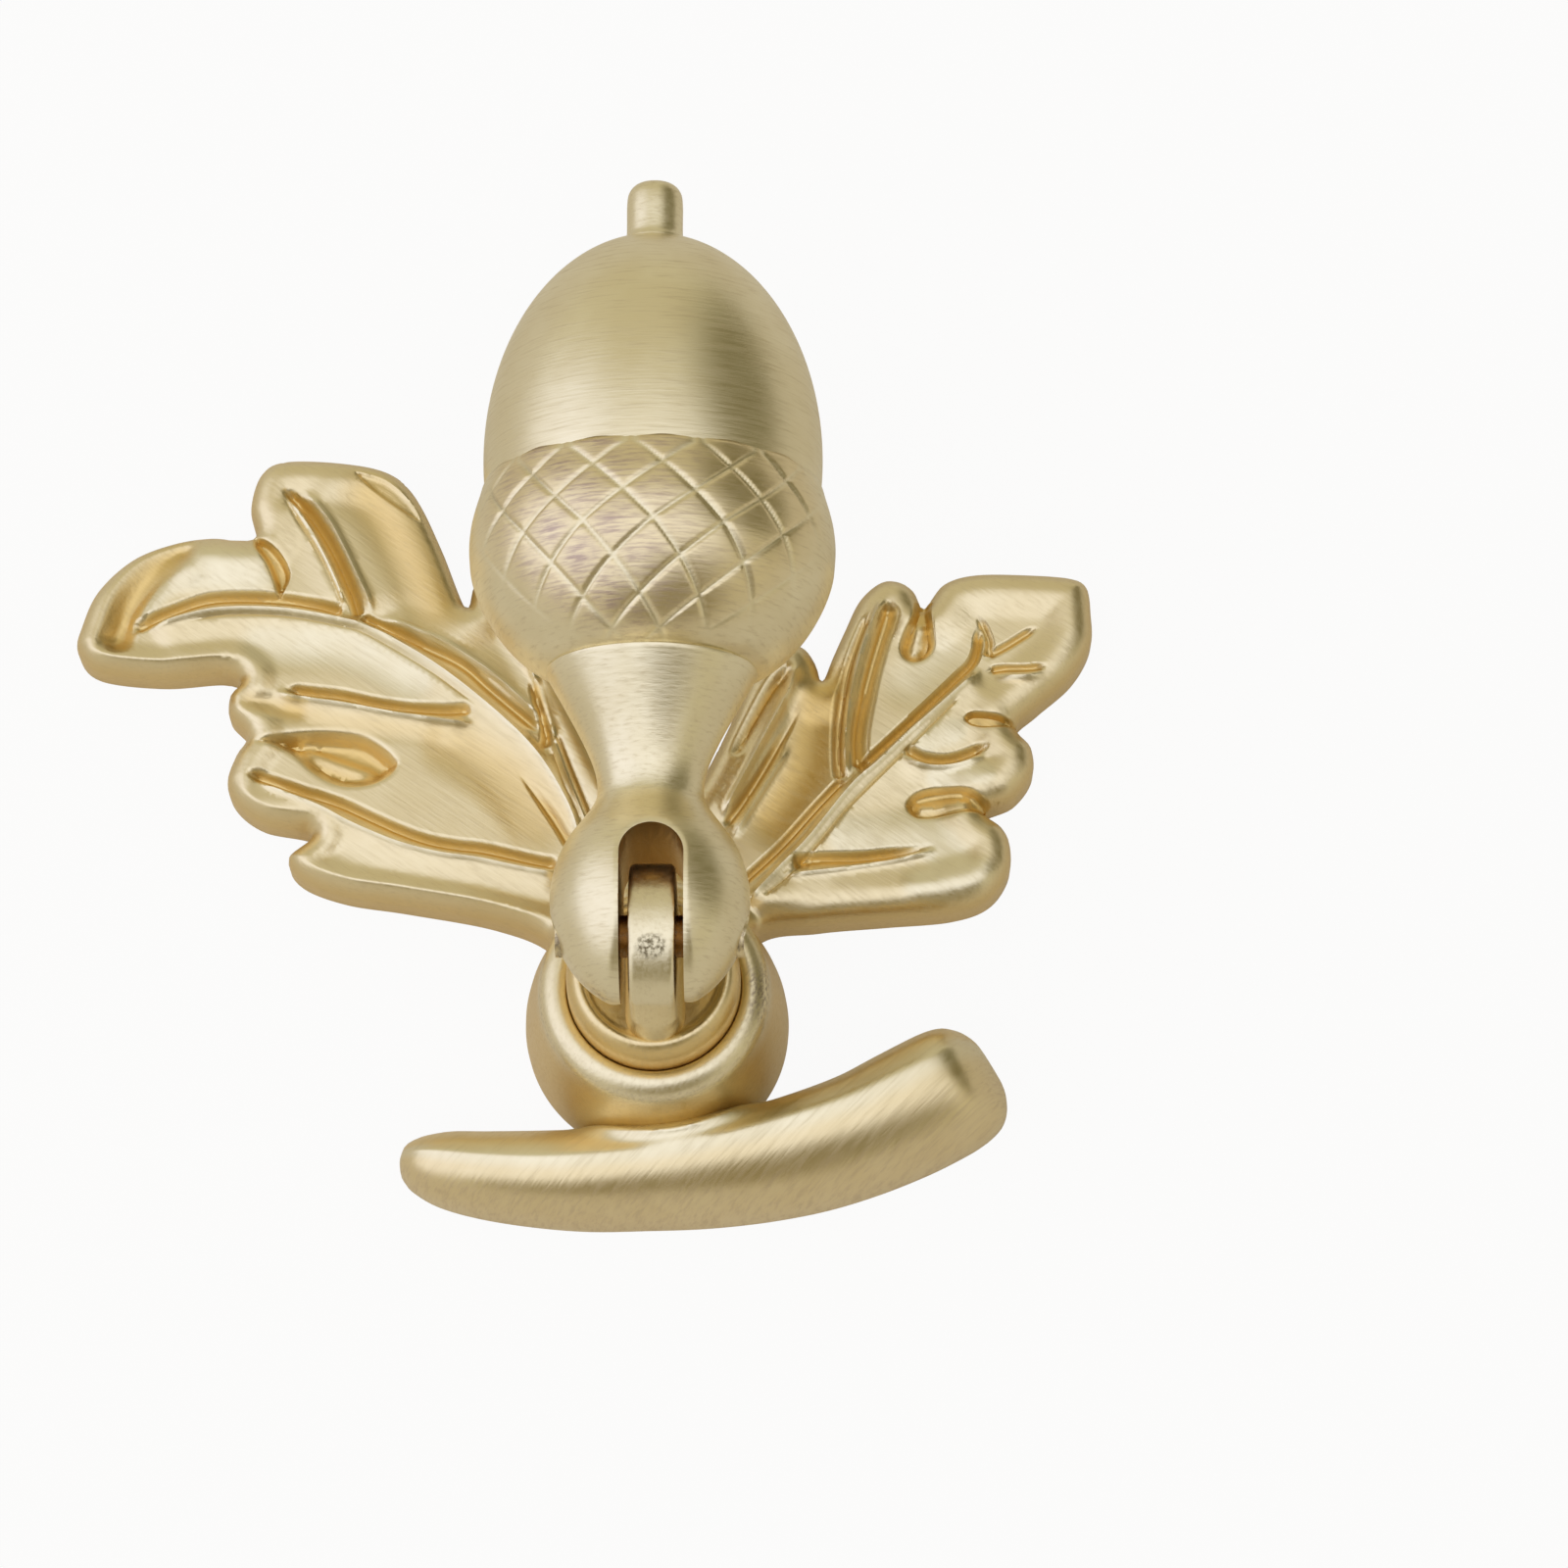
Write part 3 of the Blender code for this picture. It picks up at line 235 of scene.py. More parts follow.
def leaf_relief(xy):
    """Height of the leaves' front in millimetres, and the painted shade at each point: deeper gold in
    grooves, pockets, on steep ridge sides and towards the edges, pale on ridge crests as a painted
    highlight.
    """
    edge = off_line(xy, closed_edge)[0]
    crisp, weight = np.zeros(len(xy)), np.full(len(xy), 1e-9)
    for spot, into in zip(edge_loop, edge_inward):
        near = 1.0 / (((xy - spot) ** 2).sum(axis=1) + 0.02) ** 2
        weight += near
        crisp += near * ease((into[1] - 0.15) / 0.4) * ease((-3.0 - spot[0]) / 4.0)
    crisp /= weight
    round_by = SOFT_EDGE[0] + (CRISP_EDGE[0] - SOFT_EDGE[0]) * crisp
    bulge = SOFT_EDGE[1] + (CRISP_EDGE[1] - SOFT_EDGE[1]) * crisp
    t = np.clip(edge / round_by, 0.0, 1.0)
    height = LEAF_WALL + (LEAF_TOP - LEAF_WALL) * (1.0 - (1.0 - t) ** bulge) ** (1 / bulge)
    height -= LEAF_DISH * ease((edge - 0.9 * round_by) / (1.6 - 0.7 * crisp))
    fade = ease((edge - 0.25) / 0.9)
    # Painted shade: the whole front is a little deeper gold, and more so down the edge walls.
    tone = LEAF_PAINTED_SHADE + EDGE_PAINTED_SHADE * ease((0.55 - edge) / 0.55)
    light = np.zeros(len(xy))
    painted_shade = np.zeros(len(xy))
    for line, lift, left_reach, right_reach in RIDGE_LINES:
        dist, side, run = off_line(xy, line)
        taper = fade * ease((line_length(line) - run) / 1.2) * ease(run / 1.2 + 0.1)
        reach = np.where(side > 0, left_reach, right_reach)
        t = np.clip(dist / reach, 0.0, 1.0)
        crest = taper * np.clip(1.0 - (dist / CREST_HALF) ** 2, 0.0, 1.0) ** 2
        height += taper * 0.85 * lift * (1.0 - t) ** 1.4 + CREST_RISE * crest
        # Painted highlight: the crest is kept clear of painted shade.
        light = np.maximum(light, crest)
        # Painted shade on a ridge's steep side.
        steep = np.clip((0.7 - reach) / 0.3, 0.0, 1.0)
        flank = ease((dist - 0.14) / 0.15) * ease((reach + 0.1 - dist) / 0.15)
        painted_shade = np.maximum(painted_shade, 0.5 * taper * steep * flank)
    for line, deep, left_wide, right_wide, fade_in, fade_out in GROOVE_LINES:
        dist, side, run = off_line(xy, line)
        taper = fade * ease(run / fade_in + 0.2) * ease((line_length(line) - run) / fade_out)
        t = np.clip(dist / (np.where(side > 0, left_wide, right_wide) * (0.5 + 0.5 * taper)), 0.0, 1.0)
        cut = taper * (1.0 - t * t) ** 1.8
        height -= deep * cut
        # Painted shade in the groove.
        painted_shade = np.maximum(painted_shade, np.clip(1.15 * cut, 0.0, 1.0) * min(1.0, deep / 0.30))
    for line, half, lift, gold in SWELL_LINES:
        dist = off_line(xy, line)[0]
        swell = np.clip(1.0 - (dist / half) ** 2, 0.0, 1.0) ** 2 * ease(edge / 0.9)
        height += lift * swell
        # Painted light and shade on the fields.
        tone += gold * swell
    for loop, deep, wall in POCKET_LOOPS:
        dist = off_line(xy, loop)[0]
        inside = within(xy, loop)
        cut = np.where(inside, ease(dist / wall + 0.12), 0.12 * ease(1.0 - dist / 0.12) * 0.3)
        height -= deep * cut
        # Painted shade in the pocket.
        painted_shade = np.maximum(painted_shade, np.clip(1.3 * cut, 0.0, 1.0) * min(1.0, deep / 0.45))
    fillet_from, fillet = BOSS_FILLET
    height += fillet * np.clip((fillet_from - np.hypot(xy[:, 0], xy[:, 1])) / fillet, 0.0, 1.0) ** 2
    # Painted shade is kept off the ridge crests as painted highlights, and negative swells paint light.
    painted_shade = np.maximum(painted_shade, tone * (1.0 - light)) + np.minimum(tone - LEAF_PAINTED_SHADE, 0.0)
    return np.maximum(height, LEAF_FLOOR), np.clip(painted_shade, 0.0, 1.0)


def finish_mesh(name, mesh_bm, sharp=50.0):
    """A smooth-shaded object at the origin, with its faces pointing outwards."""
    bmesh.ops.remove_doubles(mesh_bm, verts=mesh_bm.verts, dist=1e-7)
    bmesh.ops.recalc_face_normals(mesh_bm, faces=mesh_bm.faces)
    mesh = bpy.data.meshes.new(name)
    mesh_bm.to_mesh(mesh)
    mesh_bm.free()
    mesh.shade_smooth()
    mesh.set_sharp_from_angle(angle=math.radians(sharp))
    obj = bpy.data.objects.new(name, mesh)
    bpy.context.scene.collection.objects.link(obj)
    return obj


def paint_points(obj, name, values):
    """Keeps a number for each point of the mesh, which the finish reads."""
    attribute = obj.data.attributes.new(name, "FLOAT", "POINT")
    attribute.data.foreach_set("value", np.asarray(values, np.float32))


def beside(line, offset):
    """The line moved sideways, to its left for a positive offset."""
    heading = np.gradient(line, axis=0)
    heading /= np.linalg.norm(heading, axis=1)[:, None]
    return line + offset * np.stack([-heading[:, 1], heading[:, 0]], axis=1)


edge_loop = smooth_line(LEAF_EDGE, LEAF_BACK_STEP, True)
closed_edge = np.vstack([edge_loop, edge_loop[:1]])
edge_along = np.roll(edge_loop, -1, axis=0) - np.roll(edge_loop, 1, axis=0)
edge_inward = np.stack([-edge_along[:, 1], edge_along[:, 0]], axis=1) / np.hypot(*edge_along.T)[:, None]
RIDGE_LINES = [(smooth_line(line, LEAF_STEP), *rest) for line, *rest in RIDGES]
GROOVE_LINES = [(smooth_line(line, LEAF_STEP), *rest) for line, *rest in GROOVES]
SWELL_LINES = [(smooth_line(line, 0.5), *rest) for line, *rest in SWELLS]
POCKET_LOOPS = []
for loop, *rest in POCKETS:
    loop = smooth_line(loop, 0.15, True)
    POCKET_LOOPS.append((np.vstack([loop, loop[:1]]), *rest))

# The front is meshed finely along every edge, ridge, groove and pocket, and more openly between them.
strips = [edge_loop]
for line, _, left_wide, right_wide, _, _ in GROOVE_LINES:
    for part in (0.0, 0.25, 0.5, 0.75, 1.0, 1.2):
        strips += [beside(line, part * left_wide), beside(line, -part * right_wide)]
for line, *_ in RIDGE_LINES:
    for part in (0.0, 0.09, 0.18, 0.28):
        strips += [beside(line, part), beside(line, -part)]
for loop, *_ in POCKET_LOOPS:
    for part in (-0.12, -0.06, 0.0, 0.12, 0.24, 0.36, 0.55):
        strips += [beside(loop, part), beside(loop, -part)]
for room in (0.06, 0.15, 0.26, 0.38, 0.48, 0.56, 0.62, 0.68, 0.76, 0.9, 1.08, 1.3):
    ring = beside(closed_edge, room)
    strips.append(ring[np.abs(off_line(ring, closed_edge)[0] - room) < 0.02])
strip_points = np.vstack(strips[1:])
strip_points = strip_points[within(strip_points, edge_loop)]
strip_points = strip_points[off_line(strip_points, closed_edge)[0] > 0.05]
xs = np.arange(-30.0, 22.5, LEAF_GRID)
ys = np.arange(1.0, 30.2, LEAF_GRID * 0.87)
field = np.array([(x + 0.5 * LEAF_GRID * (j % 2), y) for j, y in enumerate(ys) for x in xs])
field = field[within(field, edge_loop)]
field = field[off_line(field, closed_edge)[0] > 0.2]
taken = {}
spots = []
for points, room in ((edge_loop, 0.0), (strip_points, 0.055), (field, 0.13)):
    for p in points:
        across, up = int(p[0] // LEAF_CELL), int(p[1] // LEAF_CELL)
        cells = [(across + i, up + j) for i in (-1, 0, 1) for j in (-1, 0, 1)]
        near = [q for cell in cells for q in taken.get(cell, ())]
        if all(math.hypot(p[0] - q[0], p[1] - q[1]) > room for q in near):
            taken.setdefault((across, up), []).append(p)
            spots.append(p)
count = len(edge_loop)
rim_pairs = [(i, (i + 1) % count) for i in range(count)]
placed, _, triangles, *_ = geometry.delaunay_2d_cdt([Vector(p) for p in spots], rim_pairs, [], 1, 1e-5)
placed = np.array([tuple(p) for p in placed])
middles = placed[np.array([list(t) for t in triangles])].mean(axis=1)
leaf_z, leaf_painted_shade = leaf_relief(placed)
leaf_z[:count] = LEAF_WALL
leaf_bm = bmesh.new()
painted_shade_layer = leaf_bm.verts.layers.float.new("painted_shade")
front = []
for (x, y), z, deep in zip(placed, leaf_z, leaf_painted_shade):
    front.append(leaf_bm.verts.new(Vector((x, y, z)) * 0.001))
    front[-1][painted_shade_layer] = deep
for triangle, kept in zip(triangles, within(middles, edge_loop)):
    if kept:
        leaf_bm.faces.new([front[i] for i in triangle])
rim = [e for e in leaf_bm.edges if e.is_boundary]
walls = bmesh.ops.extrude_edge_only(leaf_bm, edges=rim)["geom"]
for v in walls:
    if isinstance(v, bmesh.types.BMVert):
        v.co.z = 0.0
back_rim = [e for e in walls if isinstance(e, bmesh.types.BMEdge) and e.is_boundary]
bmesh.ops.holes_fill(leaf_bm, edges=back_rim)
bmesh.ops.triangulate(leaf_bm, faces=[f for f in leaf_bm.faces if len(f.verts) > 4])
leaves = finish_mesh("oak_leaves", leaf_bm)
paint_points(leaves, "wear_and_shade", np.zeros(len(leaves.data.vertices)))


WORN_TINT = (0.52, 0.40, 0.31, 1.0)


def satin_gold(name, brush, turned=None, roughness=0.34, wear_and_shade_tint=WORN_TINT, slant=0.0, hair=0.42):
    """Pale gold plate, brushed: streaks run along the axis with the smallest brush number. Points marked
    with painted shade are deeper gold, brown from 1 to 2, as shade in hollows, gaps and on sides turned
    from the light; points marked with wear and shade take the given tint in streaks."""
    finish = bpy.data.materials.new(name)
    finish.use_nodes = True
    nodes, links = finish.node_tree.nodes, finish.node_tree.links
    shader = nodes["Principled BSDF"]
    shader.inputs["Metallic"].default_value = 1.0
    place = nodes.new("ShaderNodeTexCoord").outputs["Object"]
    if turned:
        settle = nodes.new("ShaderNodeMapping")
        settle.vector_type = "TEXTURE"
        settle.inputs["Location"].default_value = turned[0]
        settle.inputs["Rotation"].default_value = turned[1]
        links.new(place, settle.inputs["Vector"])
        split = nodes.new("ShaderNodeSeparateXYZ")
        links.new(settle.outputs["Vector"], split.inputs["Vector"])
        angle = nodes.new("ShaderNodeMath")
        angle.operation = "ARCTAN2"
        links.new(split.outputs["X"], angle.inputs[0])
        links.new(split.outputs["Z"], angle.inputs[1])
        curl = nodes.new("ShaderNodeMath")
        curl.operation = "MULTIPLY"
        curl.inputs[1].default_value = turned[2]
        links.new(angle.outputs["Value"], curl.inputs[0])
        joined = nodes.new("ShaderNodeCombineXYZ")
        links.new(curl.outputs["Value"], joined.inputs["X"])
        links.new(split.outputs["Y"], joined.inputs["Y"])
        wrapped = joined.outputs["Vector"]
    else:
        swung = nodes.new("ShaderNodeMapping")
        swung.inputs["Rotation"].default_value = (0.0, 0.0, slant)
        links.new(place, swung.inputs["Vector"])
        wrapped = swung.outputs["Vector"]

    def noise(source, scale, detail, stretch):
        sized = nodes.new("ShaderNodeMapping")
        sized.inputs["Scale"].default_value = stretch
        links.new(source, sized.inputs["Vector"])
        texture = nodes.new("ShaderNodeTexNoise")
        texture.inputs["Scale"].default_value = scale
        texture.inputs["Detail"].default_value = detail
        texture.inputs["Roughness"].default_value = 0.6
        links.new(sized.outputs["Vector"], texture.inputs["Vector"])
        return texture.outputs["Fac"]

    def ranged(source, low, high, to_low, to_high):
        fit = nodes.new("ShaderNodeMapRange")
        fit.interpolation_type = "SMOOTHSTEP"
        ends = {"From Min": low, "From Max": high, "To Min": to_low, "To Max": to_high}
        for socket, value in ends.items():
            fit.inputs[socket].default_value = value
        links.new(source, fit.inputs["Value"])
        return fit.outputs["Result"]

    def mixed(share, a, b):
        mix = nodes.new("ShaderNodeMix")
        mix.data_type = "RGBA"
        links.new(share, mix.inputs["Factor"])
        for socket, value in (("A", a), ("B", b)):
            target = [s for s in mix.inputs if s.name == socket and s.type == "RGBA"][0]
            if isinstance(value, tuple):
                target.default_value = value
            else:
                links.new(value, target)
        return [s for s in mix.outputs if s.type == "RGBA"][0]

    def times(a, b):
        product = nodes.new("ShaderNodeMath")
        product.operation = "MULTIPLY"
        links.new(a, product.inputs[0])
        links.new(b, product.inputs[1])
        return product.outputs["Value"]

    def mark(attribute):
        reader = nodes.new("ShaderNodeAttribute")
        reader.attribute_name = attribute
        return reader.outputs["Fac"]

    streaks = noise(wrapped, 6500.0, 3.0, brush)
    patches = noise(place, 260.0, 3.0, (1.0, 1.0, 1.0))
    shade = ranged(patches, 0.35, 0.70, 0.0, 1.0)
    colour = mixed(shade, (0.82, 0.725, 0.475, 1.0), (0.87, 0.785, 0.54, 1.0))
    # Painted shade: points marked with painted shade go deeper gold, and brown from 1 to 2.
    colour = mixed(mark("painted_shade"), colour, (0.77, 0.56, 0.22, 1.0))
    colour = mixed(ranged(mark("painted_shade"), 1.0, 2.0, 0.0, 1.0), colour, (0.38, 0.18, 0.04, 1.0))
    colour = mixed(ranged(streaks, 0.50, 0.74, 0.0, hair), colour, (0.60, 0.50, 0.30, 1.0))
    broken = ranged(streaks, 0.38, 0.68, 0.10, 0.90)
    # Wear in streaks, which on the boss is also painted shade.
    colour = mixed(times(mark("wear_and_shade"), broken), colour, wear_and_shade_tint)
    links.new(colour, shader.inputs["Base Color"])
    links.new(ranged(streaks, 0.30, 0.72, roughness - 0.06, roughness + 0.08), shader.inputs["Roughness"])
    grain = nodes.new("ShaderNodeBump")
    grain.inputs["Strength"].default_value = 0.6
    grain.inputs["Distance"].default_value = 0.000022
    links.new(streaks, grain.inputs["Height"])
    links.new(grain.outputs["Normal"], shader.inputs["Normal"])
    return finish


leaves.data.materials.append(satin_gold("brushed_leaf_gold", (0.07, 1.0, 1.0), slant=0.6, hair=0.20))
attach(leaves, "plate")
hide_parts("leaf_backplate")

# Round boss. Part of the same casting: a tall bell with a raised, rounded ring at its top, and a stepped
# hole down its middle that seats the hinge post's collar and lets its shank through.
BOSS_SIDE = [
    (3.3, 0.0), (6.5, 0.0), (6.52, 0.8), (6.46, 1.9), (6.3, 3.2), (6.06, 4.5), (5.82, 5.7), (5.66, 6.5),
    (5.63, 6.9), (5.58, 7.2), (5.47, 7.5), (5.28, 7.76), (5.04, 7.95), (4.82, 8.05), (4.6, 8.06),
    (4.42, 8.0), (4.3, 7.92), (4.23, 7.83), (4.208, 7.7), (4.208, 7.0), (4.4, 6.9), (4.4, 3.0),
    (3.3, 3.0),
]
RING_INSIDE = 0.00428
FILED_AT = -4.0
FILED_WIDTH = 15.0


def turn(name, side, steps, about, centre=(0.0, 0.0, 0.0), first=None):
    """Spins a side line, given as radius and place along the axis in metres, into a closed body."""
    side_bm = bmesh.new()
    across = Vector(first) if first else Vector((1.0, 0.0, 0.0))
    axis = Vector(about)
    points = [side_bm.verts.new(Vector(centre) + across * r + axis * h) for r, h in side]
    edges = [side_bm.edges.new(pair) for pair in zip(points, points[1:])]
    if side[0][0] > 0.0 or side[-1][0] > 0.0:
        edges.append(side_bm.edges.new((points[-1], points[0])))
    bmesh.ops.spin(
        side_bm, geom=points + edges, cent=centre, axis=about,
        angle=2 * math.pi, steps=steps, use_merge=True,
    )
    bmesh.ops.dissolve_degenerate(side_bm, dist=1e-8, edges=side_bm.edges)
    return finish_mesh(name, side_bm)


def in_metres(line):
    return [(r * 0.001, h * 0.001) for r, h in line]


def boss_painted_shade(v):
    """Painted shade: the ring's inside and the side below it are deeper gold than the ring's crown."""
    inside = math.hypot(v.x, v.y) < RING_INSIDE
    below = max(0.0, min(1.0, (0.0071 - v.z) / 0.0010))
    return 0.9 * inside + (1 - inside) * (0.08 + 0.62 * below)


boss = turn("boss", in_metres(BOSS_SIDE), 256, (0, 0, 1))
paint_points(boss, "painted_shade", [boss_painted_shade(v.co) for v in boss.data.vertices])


def boss_shade_and_wear(v):
    """Painted shade in a line under the ring's crest, and a filed patch on the ring's right."""
    turned_by = math.degrees(math.atan2(v.y, v.x))
    on_ring = math.hypot(v.x, v.y) > 0.0046 and v.z > 0.0073
    filed = 1.1 * on_ring * math.exp(-(((turned_by - FILED_AT) / FILED_WIDTH) ** 2))
    # Painted shade: a dark band round the boss just under the ring's crest.
    return 0.30 * math.exp(-(((v.z - 0.0072) / 0.0004) ** 2)) + filed


paint_points(boss, "wear_and_shade", [boss_shade_and_wear(v.co) for v in boss.data.vertices])
boss_look = satin_gold(
    "brushed_boss_gold", (0.5, 1.0, 1.0), wear_and_shade_tint=(0.38, 0.31, 0.22, 1.0), slant=-1.0, hair=0.25
)
boss.data.materials.append(boss_look)
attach(boss, "plate")
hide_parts("leaf_backplate")

# Twig. The front of the casting: a bent stem, flat at the back and ridged along its top, thin at its left
# end and sawn off square at its right end, run into the boss with a small fillet. Each row is a place along
# the stem, its half width and its height.
TWIG = [
    (-12.6, -6.8, 0.3, 0.8), (-12.45, -6.82, 0.75, 1.5), (-12.1, -6.87, 1.1, 2.1),
    (-11.5, -7.0, 1.45, 2.75), (-10.3, -7.25, 1.85, 3.4), (-8.4, -7.55, 2.1, 3.9),
    (-6.0, -7.75, 2.3, 4.2), (-3.3, -7.85, 2.43, 4.5), (-0.5, -7.8, 2.44, 4.7), (2.3, -7.6, 2.54, 4.9),
    (5.0, -7.15, 2.7, 5.0), (7.6, -6.5, 2.85, 5.1), (10.0, -5.65, 2.95, 5.1), (12.1, -4.65, 3.08, 5.1),
    (13.8, -3.75, 3.1, 5.0), (14.6, -3.3, 3.05, 4.75), (15.1, -3.02, 2.96, 4.3),
    (15.5, -2.8, 2.82, 3.7), (15.85, -2.6, 2.6, 3.0), (16.15, -2.43, 2.3, 2.25),
    (16.4, -2.29, 1.9, 1.5), (16.58, -2.19, 1.4, 0.9), (16.68, -2.13, 0.8, 0.45),
]
TWIG_ROUND = 2.2
TWIG_SIDES = 72
TWIG_LEAN = 0.75
TWIG_CREST = 0.16
TWIG_FILLET = (7.35, 0.9, 0.0007)

stations = smooth_line([(x, y, half, high) for x, y, half, high in TWIG], 0.35)
heading = np.gradient(stations[:, :2], axis=0)
heading /= np.linalg.norm(heading, axis=1)[:, None]
twig_bm = bmesh.new()
twig_painted_shade = twig_bm.verts.layers.float.new("painted_shade")
twig_wear = twig_bm.verts.layers.float.new("wear_and_shade")
hoops = []
for (x, y, half, high), (hx, hy) in zip(stations, heading):
    hoop = []
    for k in range(TWIG_SIDES + 1):
        c, s = math.cos(math.pi * k / TWIG_SIDES), math.sin(math.pi * k / TWIG_SIDES)
        across = half * math.copysign(abs(c) ** (2 / TWIG_ROUND), c)
        across += (1.0 - (across / half) ** 2) * TWIG_LEAN * float(ease((x + 7.0) / 15.0))
        up = high * max(s, 0.0) ** (2 / TWIG_ROUND)
        up += TWIG_CREST * math.exp(-(((c - 0.08) / 0.13) ** 2)) * min(1.0, high / 3.0)
        point = twig_bm.verts.new(Vector((x - hy * across, y + hx * across, up)) * 0.001)
        # Painted shade on both sides of the stem, deeper at the back, with the crest left pale as a painted
        # highlight.
        point[twig_painted_shade] = 0.55 * float(ease((c - 0.16) / 0.25)) + 0.36 * float(ease((0.02 - c) / 0.25))
        point[twig_wear] = 0.30 * float(ease((-0.25 - c) / 0.4))
        hoop.append(point)
    hoops.append([twig_bm.edges.new(pair) for pair in zip(hoop, hoop[1:] + hoop[:1])])
for near, far in zip(hoops, hoops[1:]):
    bmesh.ops.bridge_loops(twig_bm, edges=near + far)
bmesh.ops.holes_fill(twig_bm, edges=[e for e in twig_bm.edges if e.is_boundary])
bmesh.ops.triangulate(twig_bm, faces=[f for f in twig_bm.faces if len(f.verts) > 4])
fillet_from, fillet_wide, fillet_high = TWIG_FILLET
for v in twig_bm.verts:
    from_boss = Vector((v.co.x, v.co.y)).length * 1000.0
    if v.co.z > 0.0002:
        v.co.z += fillet_high * max(0.0, min(1.0, (fillet_from - from_boss) / fillet_wide)) ** 2
    # The painted shade fades out next to the boss.
    v[twig_painted_shade] *= max(0.0, min(1.0, (from_boss - 7.1) / 0.6))
twig = finish_mesh("cut_twig", twig_bm)
twig_look = satin_gold(
    "brushed_twig_gold", (1.0, 0.05, 0.20), wear_and_shade_tint=(0.62, 0.48, 0.33, 1.0), slant=0.8, hair=0.25
)
twig.data.materials.append(twig_look)
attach(twig, "plate")
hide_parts("leaf_backplate")

# Hinge post. Turned and milled from one bar: a collar with a rounded lip that sits in the boss, and a
# round-topped tongue on a round foot. Its back is drilled and tapped for the drawer screw.
COLLAR_SIDE = [
    (1.6, 0.3), (3.0, 0.3), (3.0, 3.3), (4.2, 3.3), (4.2, 8.9), (4.19, 9.4), (4.12, 9.8), (3.98, 10.15),
    (3.8, 10.42), (3.62, 10.55), (3.46, 10.52), (3.32, 10.38), (3.22, 10.28), (3.0, 10.24),
    (0.0, 10.24), (0.0, 8.3), (1.6, 7.7),
]
PIVOT = Vector((0.0, 0.0, 0.01615))
TONGUE_RADIUS = 0.0034
TONGUE_HALF = 0.00108
TONGUE_ASIDE = 0.00014
TONGUE_CORNER = 0.00035
FOOT_Z = 0.0099
FOOT_STEP = 0.00012
FOOT_LEVELS = 30
PIN_RADIUS = 0.0010
PIN_ROOM = 0.00008


def cut_away(obj, cutter):
    """Takes the cutter out of the object, and removes the cutter."""
    cut = obj.modifiers.new("cut", "BOOLEAN")
    cut.operation = "DIFFERENCE"
    cut.solver = "EXACT"
    cut.object = cutter
    bpy.context.view_layer.update()
    made = bpy.data.meshes.new_from_object(obj.evaluated_get(bpy.context.evaluated_depsgraph_get()))
    obj.modifiers.remove(cut)
    obj.data = made
    bpy.data.objects.remove(cutter)


def rod(name, radius, length, centre, rings=()):
    """A plain rod along X, with its side divided at the given rings."""
    rod_bm = bmesh.new()
    bmesh.ops.create_cone(
        rod_bm, cap_ends=True, segments=96, radius1=radius, radius2=radius, depth=length
    )
    bmesh.ops.rotate(rod_bm, verts=rod_bm.verts, matrix=Matrix.Rotation(math.pi / 2, 3, "Y"))
    for x in rings:
        whole = [*rod_bm.verts, *rod_bm.edges, *rod_bm.faces]
        bmesh.ops.bisect_plane(rod_bm, geom=whole, plane_co=(x, 0.0, 0.0), plane_no=(1.0, 0.0, 0.0))
    bmesh.ops.translate(rod_bm, verts=rod_bm.verts, vec=centre)
    return finish_mesh(name, rod_bm)


def rounded_plan(half_x, half_y, corner, z, mesh_bm):
    """A loop of points round a rounded rectangle, centred on the tongue."""
    corner = min(corner, half_x, half_y)
    loop = []
    for qx, qy, start in ((1, 1, 0), (-1, 1, 90), (-1, -1, 180), (1, -1, 270)):
        for k in range(13):
            a = math.radians(start + 90 * k / 12)
            x = qx * (half_x - corner) + corner * math.cos(a)
            y = qy * (half_y - corner) + corner * math.sin(a)
            loop.append(mesh_bm.verts.new((x + TONGUE_ASIDE, y, z)))
        if qx * qy > 0:
            for k in range(1, 8):
                x = qx * (half_x - corner) * (1 - k / 4)
                loop.append(mesh_bm.verts.new((x + TONGUE_ASIDE, qy * half_y, z)))
    return [mesh_bm.edges.new(pair) for pair in zip(loop, loop[1:] + loop[:1])]


tongue_bm = bmesh.new()
levels = []
for k in range(FOOT_LEVELS):
    rise = (FOOT_STEP * k - 0.0003) / 0.0031
    left = max(0.0, 1.0 - max(0.0, rise))
    half_x = TONGUE_HALF + 0.00035 * left**2.2
    half_y = TONGUE_RADIUS + 0.00018 * left**2.2
    corner = TONGUE_CORNER + 0.0013 * left**0.8
    levels.append(rounded_plan(half_x, half_y, corner, FOOT_Z + FOOT_STEP * k, tongue_bm))
top_from = FOOT_Z + FOOT_STEP * FOOT_LEVELS
for z in [top_from + (PIVOT.z - top_from) * k / 8 for k in range(8)]:
    levels.append(rounded_plan(TONGUE_HALF, TONGUE_RADIUS, TONGUE_CORNER, z, tongue_bm))
for k in range(33):
    a = math.pi / 2 * k / 33
    shoulder = TONGUE_HALF - 0.0002 * max(0.0, (k - 29) / 4) ** 2
    crown_y, crown_z = TONGUE_RADIUS * math.cos(a), TONGUE_RADIUS * math.sin(a)
    levels.append(rounded_plan(shoulder, crown_y, 0.0003, PIVOT.z + crown_z, tongue_bm))
for low, high in zip(levels, levels[1:]):
    bmesh.ops.bridge_loops(tongue_bm, edges=low + high)
bmesh.ops.holes_fill(tongue_bm, edges=[e for e in tongue_bm.edges if e.is_boundary])
bmesh.ops.triangulate(tongue_bm, faces=[f for f in tongue_bm.faces if len(f.verts) > 4])
tongue = finish_mesh("post_tongue", tongue_bm, 40)
cut_away(tongue, rod("bore", PIN_RADIUS + PIN_ROOM, 0.006, PIVOT))
collar = turn("post_collar", in_metres(COLLAR_SIDE), 192, (0, 0, 1))
